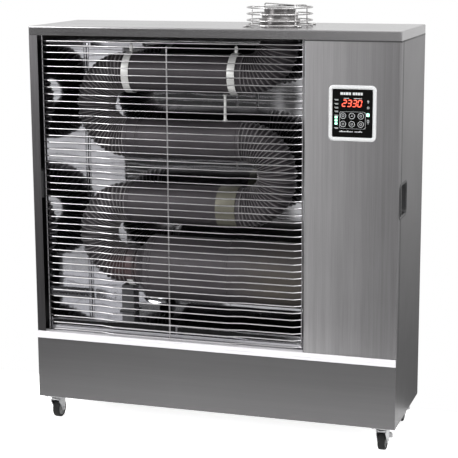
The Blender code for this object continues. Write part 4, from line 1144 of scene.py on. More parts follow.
@dataclass
class FlueOutlet:
    """The stepped collar on the lid and the wire cage that keeps hands off it.

    Attributes:
        shop: the shared trees.
        gauge: the cage wire's radius.
        rings: the heights of the rings over the lid.
        foot: how far the feet reach past the cage.
        eye: the radius of the ring at each foot's end.
    """

    shop: Workshop
    gauge: float = 0.0017
    rings: tuple[float, ...] = (0.0035, 0.015, 0.031, 0.047)
    foot: float = 0.026
    eye: float = 0.0052

    def build(self) -> None:
        """Makes the collar and the cage in place of the plain ones."""
        low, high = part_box("flue_collar")
        self.centre = middle(low, high)
        self.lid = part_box("lid")[1].z
        self.build_collar(high.z - self.lid, (high.x - low.x) / 2)
        self.build_cage()

    def build_collar(self, top: float, base: float) -> None:
        """A thin spun pipe in three stacked rings, each with a rolled edge."""
        pipe = base - 0.0143
        edge = arc((0.0, 0.0), 1.0, pi / 2, -pi / 2, 6)
        outer = [(pipe - 0.0006, top), (pipe, top - 0.0008), (pipe, top - 0.006)]
        outer += [(pipe - 0.0005, top - 0.007), (pipe - 0.0005, 0.0335), (pipe + 0.0030, 0.0325)]
        outer += [(base - 0.0080 + 0.0012 * u, 0.0298 + 0.0017 * v) for u, v in edge]
        outer += [(base - 0.0085, 0.0275), (base - 0.0085, 0.0185), (base - 0.0078, 0.0175)]
        outer += [(base - 0.0035 + 0.0012 * u, 0.0155 + 0.0017 * v) for u, v in edge]
        outer += [(base - 0.0040, 0.0130), (base - 0.0040, 0.0060)]
        outer += [(base - 0.0012 + 0.0012 * u, 0.0022 + 0.0018 * v) for u, v in edge]
        bore = base - 0.0105
        inner = [(bore, 0.0004), (bore, -0.030), (pipe - 0.0032, -0.030), (pipe - 0.0016, top)]
        shape = Shape()
        shape.lathe(outer + inner, Vector((self.centre.x, self.centre.y, self.lid)), steps=96)
        fit(shape.done("flue_pipe_and_rings", FLUE, sharp=40), CABINET, "zinc_plate", "flue_collar")

    def build_cage(self) -> None:
        """Four rings outside two crossing staples, each foot ending in an eye that a screw holds down."""
        low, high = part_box("flue_guard_cage")
        radius = 0.0799
        outline = circle(radius + 1.9 * self.gauge, 72)
        hoops = [
            [Vector((self.centre.x + u, self.centre.y + v, self.lid + height)) for u, v in outline]
            for height in self.rings
        ]
        draw = self.shop.wires.draw
        cage = draw("flue_cage_rings", hoops, CAGE_WIRE, self.gauge, 0.001, 12, True)
        fit(cage, CABINET, "bright_wire", "flue_guard_cage")
        staples = []
        eyes = []
        spots = []
        foot_z = self.lid + self.gauge + 0.0004
        for index, angle in enumerate((radians(45), radians(135))):
            top = high.z - self.gauge - (1 - index) * 2.1 * self.gauge
            reach = radius + self.foot * 0.55
            route = [(reach, foot_z), (radius, foot_z), (radius, top)]
            path = route + [(-r, z) for r, z in reversed(route)]
            out = Vector((cos(angle), sin(angle), 0.0))
            staples.append([Vector((self.centre.x, self.centre.y, z)) + out * r for r, z in path])
            for side in (-1, 1):
                eye = Vector((self.centre.x, self.centre.y, foot_z)) + out * side * (reach + self.eye)
                eyes.append([eye + Vector((*point, 0.0)) for point in circle(self.eye, 16)])
                spots.append((eye - Z_AXIS * self.gauge, Z_AXIS))
        fit(draw("flue_cage_staples", staples, CAGE_WIRE, self.gauge, 0.007, 12), CABINET, "bright_wire")
        fit(draw("flue_cage_eyes", eyes, CAGE_WIRE, self.gauge * 0.9, 0.0, 10, True), CABINET, "bright_wire")
        head = self.shop.pan_head("cage_screw_head", 0.0058, PAINT)
        fit(self.shop.screws.place("flue_cage_screws", spots, head, PAINT), CABINET, "zinc_plate")


@dataclass
class ControlPanel:
    """The silver bezel, the black face with its figures, lamps and marks, and six ring buttons.

    Attributes:
        shop: the shared trees.
        figure: a figure's width and height.
        lean: how far the figures lean over, for each metre of height.
        mark: how far the printed marks stand off the face.
    """

    shop: Workshop
    figure: Flat = (0.0086, 0.0152)
    lean: float = 0.16
    mark: float = 0.00006

    def build(self) -> None:
        """Makes the bezel, the face, the marks, the lamps and the buttons."""
        low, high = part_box("control_face")
        self.centre = middle(low, high)
        self.front = low.y
        self.build_bezel()
        dress(GLOSS, "control_face")
        self.build_marks()
        self.build_figures()
        self.build_lamps()
        for number in range(1, 7):
            self.build_button(number)
        dress(BOARD, "control_board")

    def place(self, x: float, z: float, lift: float = 0.0) -> Matrix:
        """The plane of the face about a point measured from its middle, raised by lift."""
        spot = Vector((self.centre.x + x, self.front - lift, self.centre.z + z))
        return Matrix.Translation(spot) @ Matrix.Rotation(pi / 2, 4, "X")

    def build_bezel(self) -> None:
        """A frame whose edge rises in a soft round to a flat and falls steeply to the face."""
        low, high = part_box("control_bezel")
        width = high.x - low.x
        height = high.z - low.z
        depth = high.y - low.y
        section = [(0.0, 0.0)]
        turns = (0.3, 0.6, 0.9, 1.2, pi / 2)
        section += [(0.0026 - 0.0026 * cos(turn), (depth - 0.0002) * sin(turn)) for turn in turns]
        section += [(0.0072, depth), (0.0088, depth - 0.0005), (0.0096, depth - 0.0015), (0.0096, 0.0)]
        rings = []
        for inset, rise in section:
            outline = rectangle(width - 2 * inset, height - 2 * inset, max(0.0125 - inset, 0.0030), 8)
            rings.append([Vector((self.centre.x + u, high.y - rise, self.centre.z + v)) for u, v in outline])
        shape = Shape()
        shape.loft(rings, closed=True)
        fit(shape.done("bezel_frame", SILVER, sharp=60), CABINET, "silver_plastic", "control_bezel")

    def bar(
        self, shape: Shape, x: float, z: float, width: float, height: float, lean: float = 0.0
    ) -> None:
        """One printed bar about a point."""
        half = width / 2
        tall = height / 2
        corners = [(-half, -tall), (half, -tall), (half, tall), (-half, tall)]
        shape.slab([(u + lean * v, v) for u, v in corners], self.place(x, z, self.mark / 2), self.mark)

    def hoop(
        self, shape: Shape, outline: Sequence[Flat], x: float, z: float, line: float, lift: float = 0.0
    ) -> None:
        """A printed line along a closed outline."""
        place = self.place(x, z, lift)
        inside = 1 - line / max(Vector(point).length for point in outline)
        rings = []
        for share, level in ((1.0, 0.0), (1.0, self.mark), (inside, self.mark), (inside, 0.0)):
            rings.append([place @ Vector((u * share, v * share, level)) for u, v in outline])
        shape.loft(rings, closed=True)

    def build_marks(self) -> None:
        """Plain bars for captions, small icons and the frame line round the buttons."""
        shape = Shape()
        widths = (0.0065, 0.0040, 0.0070, 0.0050, 0.0, 0.0055, 0.0045, 0.0060, 0.0050)
        x = -0.0300
        for width in widths:
            if width:
                self.bar(shape, x + width / 2, 0.0476, width, 0.0062)
            x += width + 0.0011 if width else 0.0035
        for start, end in ((-0.0215, -0.0085), (0.0030, 0.0235)):
            self.bar(shape, (start + end) / 2, 0.0362, end - start, 0.0012)
        for z in (0.0330, 0.0232, 0.0140, 0.0048, -0.0052, -0.0356):
            self.bar(shape, -0.0400, z, 0.0100, 0.0009)
            self.bar(shape, -0.0390, z - 0.0021, 0.0075, 0.0008)
        self.hoop(shape, rectangle(0.0640, 0.0415, 0.0045), 0.0003, -0.0166, 0.0006)
        self.hoop(shape, circle(0.0023, 20), 0.0386, 0.0300, 0.0011)
        self.bar(shape, 0.0386, 0.0260, 0.0030, 0.0008)
        self.hoop(shape, rectangle(0.0050, 0.0050, 0.0008), 0.0386, 0.0145, 0.0011)
        self.hoop(shape, rectangle(0.0050, 0.0062, 0.0014), 0.0386, -0.0175, 0.0011)
        self.bar(shape, 0.0386, -0.0238, 0.0034, 0.0008)
        x = -0.0305
        for step in range(15):
            tall = 0.0034 if step % 4 == 1 else 0.0020
            if step != 9:
                self.bar(shape, x, -0.0446 + (tall - 0.0020) / 2, 0.0028, tall, 0.45)
            x += 0.0038
        fit(shape.done("face_marks", PRINT), CABINET, "silver_plastic")

    def build_figures(self) -> None:
        """Four leaning seven-bar figures."""
        shape = Shape()
        width, height = self.figure
        end = 0.0019 / 2
        half = width / 2
        tall = height / 2
        bars = (
            ((0.0, tall), True), ((half, tall / 2), False), ((half, -tall / 2), False), ((0.0, -tall), True),
            ((-half, -tall / 2), False), ((-half, tall / 2), False), ((0.0, 0.0), True),
        )
        for column, digit in enumerate((Digit.TWO, Digit.THREE, Digit.THREE, Digit.ZERO)):
            middle_x = -0.0199 + column * 0.0126
            for lit, ((x, z), flat) in zip(digit.value, bars):
                if lit == "0":
                    continue
                long = (width if flat else tall) / 2 - 0.0006
                square = long - end
                outline = [
                    (-long, 0.0), (-square, -end), (square, -end), (long, 0.0), (square, end), (-square, end),
                ]
                if not flat:
                    outline = [(-v, u) for u, v in outline]
                leaned = [(u + x + self.lean * (v + z), v + z) for u, v in outline]
                shape.slab(leaned, self.place(middle_x, 0.0243, 0.00007), 0.00014)
        fit(shape.done("display_figures", RED_LIGHT), CABINET, "black_gloss")

    def build_lamps(self) -> None:
        """Three lit level lamps and one lit function lamp."""
        shape = Shape()
        lens = rectangle(0.0068, 0.0050, 0.0012, 3)
        lit = [(lens, -0.0402, z) for z in (-0.0105, -0.0180, -0.0255)]
        for outline, x, z in (*lit, (rectangle(0.0074, 0.0080, 0.0016, 3), 0.0384, -0.0028)):
            shape.slab(outline, self.place(x, z, 0.00012), 0.00024, 0.00005)
        fit(shape.done("level_lamps", GREEN_LIGHT), CABINET, "black_gloss")

    def build_button(self, number: int) -> None:
        """A round button with a dished top and a printed ring and sign on it."""
        node = f"button_{number}"
        low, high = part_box(node)
        centre = middle(low, high)
        radius = (high.x - low.x) / 2
        length = high.y - low.y
        top = [(radius * 0.30 * k, length - 0.00035 + 0.00035 * (0.30 * k) ** 2) for k in range(4)]
        side = [(radius - 0.0004, length - 0.00005), (radius, length - 0.0005), (radius, 0.0), (0.0, 0.0)]
        cap = Shape()
        cap.lathe(top + side, Vector((centre.x, high.y, centre.z)), -Y_AXIS, 48)
        fit(cap.done(f"{node}_cap", GLOSS), node, "black_gloss", node)
        marks = Shape()
        x = centre.x - self.centre.x
        z = centre.z - self.centre.z
        lift = self.front - low.y - 0.00002
        self.hoop(marks, circle(radius - 0.0009, 40), x, z, 0.0009, lift)
        sides = (24, 3, 6, 4, 5, 8)[number - 1]
        self.hoop(marks, circle(0.0031, sides, pi / 2), x, z, 0.0008, lift - 0.00022)
        fit(marks.done(f"{node}_ring", PRINT), node, "black_gloss")


@dataclass
class HandleCup:
    """A moulded finger cup let into a side panel.

    Attributes:
        side: -1 for the left panel, 1 for the right.
        wall: the moulding's wall.
    """

    side: int
    wall: float = 0.0016

    def build(self) -> None:
        """Lofts the cup from its flange to its floor and back round its outside."""
        name = "left_handle_cup" if self.side < 0 else "right_handle_cup"
        low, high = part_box(name)
        centre = middle(low, high)
        skin = high.x if self.side > 0 else low.x
        depth = high.x - low.x
        length = high.y - low.y
        height = high.z - low.z
        sections = (
            (0.0, 0.0010, 0.0125), (0.0006, 0.0002, 0.0130), (0.0022, 0.0, 0.0120), (0.0062, 0.0, 0.0095),
            (0.0072, 0.0010, 0.0088), (0.0078, 0.0040, 0.0080), (0.0100, depth - 0.0060, 0.0070),
            (0.0125, depth - 0.0030, 0.0060), (0.0180, depth - self.wall, 0.0040),
            (0.0180, depth, 0.0040), (0.0105, depth, 0.0060), (0.0080, depth - 0.0030, 0.0070),
            (0.0056, 0.0040, 0.0080), (0.0056, 0.0010, 0.0095),
        )
        rings = []
        for inset, back, radius in sections:
            outline = rectangle(length - 2 * inset, height - 2 * inset, radius, 6)
            rings.append([Vector((skin - self.side * back, centre.y + u, centre.z + v)) for u, v in outline])
        shape = Shape()
        shape.loft([*rings[9:], *rings[:9]])
        fit(shape.done(f"{name}_moulding", PLASTIC, sharp=50), CABINET, "black_plastic", name)


@dataclass
class BurnerBay:
    """The burner, its blower and motor, the igniter's transformer and the cord's inlet.

    Attributes:
        shop: the shared trees.
        blades: the blower's blades.
        fins: the motor's fins.
    """

    shop: Workshop
    blades: int = 28
    fins: int = 20

    def build(self) -> None:
        """Makes each in place of its plain node."""
        self.build_housing()
        self.build_motor()
        self.build_blower()
        self.build_nozzle()
        self.build_transformer()
        self.build_inlet()

    def build_housing(self) -> None:
        """A spun housing with rolled edges and an open eye."""
        low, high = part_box("burner_housing")
        depth = high.x - low.x
        flange = (high.z - low.z) / 2
        drum = flange - 0.0135
        origin = Vector((low.x, middle(low, high).y, middle(low, high).z))
        profile = [
            (0.046, depth), (0.046, depth - 0.0015), (drum - 0.0015, depth - 0.0015), (drum - 0.0015, 0.0045),
            (0.032, 0.003), (0.032, 0.0), (flange, 0.0), (flange, 0.003), (drum, 0.003), (drum, depth),
        ]
        shape = Shape()
        shape.lathe(rounded(profile, 0.003, 3), origin, X_AXIS, 72)
        fit(shape.done("housing_shell", PAINT), CABINET, "painted_steel", "burner_housing")

    def build_motor(self) -> None:
        """A motor body between two end shields, with fins round it."""
        low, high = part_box("burner_motor")
        radius = (high.z - low.z) / 2
        centre = middle(low, high)
        length = 0.080
        start = high.x - length
        core = radius - 0.004
        shield = radius - 0.002
        profile = [
            (0.0, length), (radius - 0.012, length), (shield, length - 0.006), (shield, length - 0.014),
            (core, length - 0.015), (core, 0.015), (shield, 0.014), (shield, 0.006), (radius - 0.012, 0.0),
            (0.004, 0.0), (0.004, low.x - start), (0.0, low.x - start),
        ]
        shape = Shape()
        shape.lathe(profile, Vector((start, centre.y, centre.z)), X_AXIS, 48)
        fit(shape.done("motor_body", PAINT), CABINET, "painted_steel", "burner_motor")
        fin = Shape()
        fin.box((0.017, -0.0007, core - 0.001), (length - 0.017, 0.0007, radius - 0.0004), 0.0003)
        place = (start, centre.y, centre.z)
        fins = self.shop.copies.round("motor_fins", fin, PAINT, self.fins, X_AXIS, place)
        fit(fins, CABINET, "painted_steel")

    def build_blower(self) -> None:
        """A squirrel cage: a dished back plate, a front ring and curved blades."""
        low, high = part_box("blower_wheel")
        radius = (high.z - low.z) / 2 - 0.0004
        depth = high.x - low.x
        centre = middle(low, high)
        origin = Vector((low.x, centre.y, centre.z))
        shape = Shape()
        hub = [
            (0.0045, 0.0), (0.010, 0.0), (0.011, 0.003), (radius * 0.6, 0.0045), (radius, 0.0012),
            (radius, 0.0022), (radius * 0.6, 0.0058), (0.0115, 0.005), (0.010, 0.014), (0.0045, 0.014),
        ]
        shape.lathe(hub, origin, X_AXIS, 64)
        lip = depth - 0.0012
        ring = [
            (radius, depth - 0.002), (radius, depth), (radius - 0.012, depth), (radius - 0.012, lip),
            (radius - 0.0015, lip),
        ]
        shape.lathe(ring, origin, X_AXIS, 64)
        fit(shape.done("blower_plates", ZINC), "blower", "zinc_plate", "blower_wheel")
        blade = Shape()
        spine = [(radius - 0.0115 + 0.011 * t / 6, 0.0035 * sin(pi * t / 6)) for t in range(7)]
        section = [(r, w + 0.0004) for r, w in spine] + [(r, w - 0.0004) for r, w in reversed(spine)]
        blade.loft([[Vector((x, w, r)) for r, w in section] for x in (0.0018, depth - 0.0006)])
        blades = self.shop.copies.round("blower_blades", blade, ZINC, self.blades, X_AXIS, origin)
        fit(blades, "blower", "zinc_plate")

    def build_nozzle(self) -> None:
        """The spray nozzle behind its diffuser disc."""
        low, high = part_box("burner_nozzle")
        centre = middle(low, high)
        disc = (high.z - low.z) / 2
        profile = [
            (0.0, 0.0), (0.007, 0.0), (0.012, 0.003), (disc, 0.003), (disc, 0.005), (0.013, 0.0062),
            (0.009, 0.012), (0.009, 0.040), (0.011, 0.041), (0.011, 0.052), (0.009, 0.053), (0.009, 0.085),
            (0.0, 0.085),
        ]
        shape = Shape()
        shape.lathe(profile, Vector((low.x, centre.y, centre.z)), X_AXIS, 48)
        fit(shape.done("nozzle_and_diffuser", BRASS), CABINET, "brass", "burner_nozzle")

    def build_transformer(self) -> None:
        """A potted block on a bent foot, with two spark terminals."""
        low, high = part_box("ignition_transformer")
        shape = Shape()
        body = Vector((high.x - 0.060, low.y + 0.010, low.z))
        shape.box(body, (high.x, high.y - 0.010, high.z), 0.004)
        shape.box((low.x, low.y, low.z + 0.020), (body.x + 0.004, high.y, low.z + 0.0225), 0.0006)
        terminal = [
            (0.0, 0.008), (0.003, 0.008), (0.003, 0.003), (0.006, 0.002), (0.006, -0.001), (0.0, -0.001),
        ]
        for step in (-0.018, 0.018):
            spot = Vector((high.x - 0.030, middle(low, high).y + step, high.z - 0.008))
            shape.lathe(terminal, spot, Z_AXIS, 24)
        fit(shape.done("transformer_block", PLASTIC), CABINET, "black_plastic", "ignition_transformer")

    def build_inlet(self) -> None:
        """A strain relief with a nut inside the panel and a ribbed snout."""
        low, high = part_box("power_inlet")
        centre = middle(low, high)
        depth = high.y - low.y
        profile = [
            (0.0046, depth), (0.0100, depth), (0.0116, depth - 0.001), (0.0116, depth - 0.004),
            (0.0104, depth - 0.005), (0.0116, depth - 0.006), (0.0116, 0.004), (0.0158, 0.0035),
            (0.0158, 0.0), (0.0046, 0.0),
        ]
        shape = Shape()
        shape.lathe(rounded(profile, 0.0006, 2), Vector((centre.x, low.y, centre.z)), Y_AXIS, 48)
        fit(shape.done("inlet_gland", PLASTIC), CABINET, "black_plastic", "power_inlet")


@dataclass
class FuelSystem:
    """The tank, its cap, the pump and the two lines.

    Attributes:
        shop: the shared trees.
        grips: the ribs round the cap.
        depth: the tank's size from front to back, without its neck.
        height: the tank's height without its neck.
    """

    shop: Workshop
    grips: int = 24
    depth: float = 0.2605
    height: float = 0.136

    def build(self) -> None:
        """Dresses the tank and makes the rest again."""
        dress(PAINT, "fuel_tank")
        self.build_seam()
        self.build_cap()
        self.build_pump()
        self.build_lines()

    def build_seam(self) -> None:
        """The welded flange round the tank's middle."""
        low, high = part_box("fuel_tank")
        width = high.x - low.x
        outer = rectangle(width + 0.006, self.depth + 0.006, 0.006, 5)
        inner = rectangle(width + 0.0006, self.depth + 0.0006, 0.003, 5)
        centre = Vector((middle(low, high).x, low.y + self.depth / 2, low.z + self.height / 2))
        levels = ((inner, -0.001), (outer, -0.001), (outer, 0.001), (inner, 0.001))
        rings = [[centre + Vector((u, v, step)) for u, v in path] for path, step in levels]
        shape = Shape()
        shape.loft(rings, closed=True)
        fit(shape.done("tank_seam", PAINT), CABINET, "painted_steel")

    def build_cap(self) -> None:
        """A turned cap on the neck's slant, with grips round it and a raised bar across it."""
        tilt = Vector((0.0, sin(radians(45)), cos(radians(45))))
        low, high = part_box("fuel_cap")
        centre = middle(low, high)
        base = centre - tilt * 0.007
        shape = Shape()
        profile = [
            (0.0, 0.0068), (0.0212, 0.0068), (0.0212, 0.0), (0.0240, 0.0), (0.0240, 0.0108), (0.0225, 0.0128),
            (0.016, 0.0130), (0.014, 0.0118), (0.0, 0.0118),
        ]
        shape.lathe(profile, base, tilt, 64)
        turn = tilt.to_track_quat("Z", "Y").to_matrix().to_4x4()
        place = Matrix.Translation(base + tilt * 0.0124) @ turn
        shape.slab(rectangle(0.030, 0.0065, 0.003, 5), place, 0.003, 0.0005)
        fit(shape.done("fuel_cap_body", PLASTIC), "fuel_cap", "black_plastic", "fuel_cap")
        grip = Shape()
        spot = turn @ Matrix.Translation((0.0238, 0.0, 0.0060))
        grip.slab(rectangle(0.0022, 0.0032, 0.0009, 3), spot, 0.0098, 0.0003)
        ribs = self.shop.copies.round("fuel_cap_grips", grip, PLASTIC, self.grips, tilt, base)
        fit(ribs, "fuel_cap", "black_plastic")

    def build_pump(self) -> None:
        """A plunger pump's block with its ribbed coil on top."""
        low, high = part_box("fuel_pump")
        centre = middle(low, high)
        top = low.z + 0.0485
        shape = Shape()
        shape.box(low, (high.x, high.y, top), 0.004)
        height = high.z - top
        coil = [(0.0, height), (0.012, height), (0.014, height - 0.002)]
        for ring in range(6):
            z = height - 0.004 - ring * 0.0045
            coil += [(0.014, z), (0.0122, z - 0.0008), (0.0122, z - 0.0030), (0.014, z - 0.0038)]
        coil += [(0.014, -0.001), (0.0, -0.001)]
        shape.lathe(coil, Vector((centre.x, centre.y, top)), Z_AXIS, 40)
        fit(shape.done("pump_and_coil", ZINC), CABINET, "zinc_plate", "fuel_pump")

    def build_lines(self) -> None:
        """The supply line, and the burner line with its bends eased."""
        low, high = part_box("supply_line")
        centre = middle(low, high)
        ends = [Vector((low.x, centre.y, centre.z)), Vector((high.x, centre.y, centre.z))]
        draw = self.shop.wires.draw
        fit(draw("supply_pipe", [ends], BRASS, 0.003, 0.001, 16), CABINET, "brass", "supply_line")
        low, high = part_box("burner_line")
        pump = middle(*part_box("fuel_pump"))
        burner_y = low.y + 0.003
        rise_x = low.x + 0.003
        route = [
            (pump.x, pump.y, low.z), (pump.x, pump.y, low.z + 0.065),
            (pump.x - 0.008, pump.y - 0.015, low.z + 0.095),
            (rise_x + 0.004, burner_y + 0.008, low.z + 0.120),
            (rise_x, burner_y, low.z + 0.137), (rise_x, burner_y, high.z),
        ]
        fit(draw("burner_pipe", [route], BRASS, 0.003, 0.02, 16), CABINET, "brass", "burner_line")


@dataclass
class Caster:
    """One swivel caster: fork, wheel and, on the right, a brake pedal.

    Attributes:
        shop: the shared trees.
        spot: its place in the names, such as front_left.
        braked: whether it has a pedal.
        trail: how far the axle sits behind the swivel.
        inside: half the room between the legs.
        leg: a leg's thickness.
    """

    shop: Workshop
    spot: str
    braked: bool
    trail: float = TRAIL
    inside: float = 0.0115
    leg: float = 0.002

    def build(self) -> None:
        """Makes the fork, the wheel and the pedal in place of the plain ones."""
        low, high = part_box(f"{self.spot}_wheel")
        self.axle = middle(low, high)
        self.radius = (high.z - low.z) / 2
        self.width = high.x - low.x
        self.swivel = Vector((self.axle.x, self.axle.y - self.trail, 0.0))
        self.build_fork()
        self.build_wheel()
        if self.braked:
            self.build_pedal()

    def leg_outline(self) -> list[Flat]:
        """A leg from the side, as (y, z) from the swivel axis at floor level."""
        ear = arc((self.trail, self.radius), 0.0078, radians(195), radians(350), 10)
        if self.braked:
            rear = arc((0.036, 0.050), 0.0053, radians(-60), radians(90), 8)
        else:
            rear = [(0.0255, 0.0450), (0.0255, 0.0535)]
        return [(-0.0115, 0.0535), (-0.0115, 0.0480), *ear, *rear]

    def build_fork(self) -> None:
        """A pressed crown over two legs, the lower race and the axle bolt with its nut."""
        low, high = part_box(f"{self.spot}_fork")
        shape = Shape()
        top = high.z
        race = [
            (0.0, top), (0.0115, top), (0.0125, top - 0.0012), (0.0152, top - 0.0016),
            (0.0155, top - 0.0028), (0.0155, top - 0.0040), (0.0140, top - 0.0056), (0.0, top - 0.0056),
        ]
        shape.lathe(race, self.swivel, steps=56)
        half = self.inside + self.leg
        rear = 0.030 if self.braked else 0.0255
        crown = (Vector((-half, -0.0115, 0.0520)), Vector((half, rear, 0.0545)))
        shape.box(self.swivel + crown[0], self.swivel + crown[1], 0.0012)
        for side in (-1, 1):
            turn = Matrix.Rotation(pi / 2, 4, "Z") @ Matrix.Rotation(pi / 2, 4, "X")
            place = Matrix.Translation(self.swivel + X_AXIS * side * (self.inside + self.leg / 2)) @ turn
            shape.slab(self.leg_outline(), place, self.leg, 0.0004)
        bolt = [
            (0.0, -half - 0.0020), (0.0030, -half - 0.0020), (0.0042, -half - 0.0012), (0.0042, -half),
            (0.0039, -half), (0.0039, half), (0.0042, half), (0.0042, half + 0.0010),
            (0.0022, half + 0.0020), (0.0, half + 0.0020),
        ]
        shape.lathe(bolt, self.axle, X_AXIS, 28)
        pressing = shape.done(f"{self.spot}_fork_pressing", ZINC)
        fit(pressing, f"{self.spot}_caster", "zinc_plate", f"{self.spot}_fork")

    def build_wheel(self) -> None:
        """A soft tread with a crown and shoulders, and a grey hub with a dished web on each side."""
        half = self.width / 2
        shoulder = 0.0035
        tread = [(0.0188, half - 0.0028)]
        for turn in sweep(0.0, pi / 2, 5):
            reach = self.radius - shoulder + shoulder * sin(turn)
            tread.append((reach, half - shoulder + 0.0031 * cos(turn)))
        wheel = Shape()
        wheel.lathe([*tread, *((r, -x) for r, x in reversed(tread))], self.axle, X_AXIS, 72)
        body = f"{self.spot}_wheel"
        fit(wheel.done(f"{self.spot}_tread", RUBBER), body, "wheel_rubber", f"{self.spot}_wheel")
        hub = Shape()
        web = [
            (0.0043, half), (0.0075, half), (0.0082, half - 0.0008), (0.0088, half - 0.0030),
            (0.0165, half - 0.0034), (0.0172, half - 0.0018), (0.0187, half - 0.0018),
        ]
        hub.lathe([*web, *((r, -x) for r, x in reversed(web))], self.axle, X_AXIS, 56)
        fit(hub.done(f"{self.spot}_hub", HUB), body, "wheel_rubber")
        rib = Shape()
        rib.box((0.0036 - half, -0.0006, 0.0080), (half - 0.0036, 0.0006, 0.0172), 0.0003)
        for x in (0.0027 - half, half - 0.0027):
            rib.box((x - 0.0008, -0.0006, 0.0080), (x + 0.0008, 0.0006, 0.0172), 0.0003)
        ribs = self.shop.copies.round(f"{self.spot}_hub_ribs", rib, HUB, 6, X_AXIS, self.axle)
        fit(ribs, body, "wheel_rubber")

    def build_pedal(self) -> None:
        """A pressed pedal on its cross pin, with three ridges."""
        name = f"{self.spot}_brake_lever"
        low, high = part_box(name)
        pivot = self.swivel + Vector((0.0, 0.036, 0.050))
        slope = atan2(0.016, 0.032)
        down = Matrix.Translation(pivot) @ Matrix.Rotation(slope, 4, "X")
        shape = Shape()
        reach = self.inside + self.leg + 0.0014
        pin = [(0.0, -reach), (0.0023, -reach), (0.0023, reach), (0.0, reach)]
        shape.lathe(pin, pivot, X_AXIS, 24)
        neck = Matrix.Rotation(pi / 2, 4, "X")
        arm = down @ Matrix.Translation((0, 0, -0.008)) @ neck
        shape.slab(rectangle(0.0205, 0.016, 0.002, 3), arm, 0.0022, 0.0004)
        width = high.x - low.x
        tread = down @ Matrix.Translation((0, 0, -0.0243)) @ neck
        shape.slab(rectangle(width, 0.0186, 0.0045, 6), tread, 0.0022, 0.0006)
        for row in range(3):
            ridge = tread @ Matrix.Translation((0, -0.0058 + row * 0.0045, -0.0010))
            shape.slab(rectangle(width - 0.010, 0.0016, 0.0007, 3), ridge, 0.0012, 0.0002)
        fit(shape.done(f"{self.spot}_pedal", ZINC), f"{self.spot}_brake", "zinc_plate", name)


@dataclass
class CasterPlates:
    """The cabinet's floor with four zinc plates under it, each with its upper race and four bolts.

    Attributes:
        shop: the shared trees.
        pad: a plate's width.
        race: the upper race's radius.
    """

    shop: Workshop
    pad: float = 0.052
    race: float = 0.016

    def build(self) -> None:
        """Makes the floor sheet and the plates in place of the one plain node."""
        low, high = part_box("base_plate")
        sheet = Shape()
        sheet.box((low.x, low.y, high.z - 0.0015), (high.x, high.y, high.z), 0.0003)
        fit(sheet.done("cabinet_floor", PAINT), CABINET, "painted_steel", "base_plate")
        plates = Shape()
        spots = []
        top = high.z - 0.0018
        bottom = top - 0.0027
        race = [
            (0.0, 0.002), (self.race, 0.002), (self.race, -0.0020), (self.race - 0.0010, -0.0036),
            (self.race - 0.0030, low.z - bottom), (0.0, low.z - bottom),
        ]
        for spot in ("front_left", "front_right", "rear_left", "rear_right"):
            centre = middle(*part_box(f"{spot}_wheel"))
            x, y = centre.x, centre.y - TRAIL
            place = Matrix.Translation((x, y, (top + bottom) / 2))
            plates.slab(rectangle(self.pad, self.pad, 0.006, 5), place, top - bottom, 0.0004)
            plates.lathe(race, Vector((x, y, bottom)), steps=48)
            reach = self.pad / 2 - 0.0065
            corners = [(x + reach * u, y + reach * v) for u in (-1, 1) for v in (-1, 1)]
            spots += [(Vector((*corner, bottom)), -Z_AXIS) for corner in corners]
        fit(plates.done("caster_plates", ZINC), CABINET, "zinc_plate")
        head = self.shop.hex_head("plate_bolt_head", 0.0032, ZINC)
        fit(self.shop.screws.place("caster_plate_bolts", spots, head, ZINC), CABINET, "zinc_plate")


# Studio


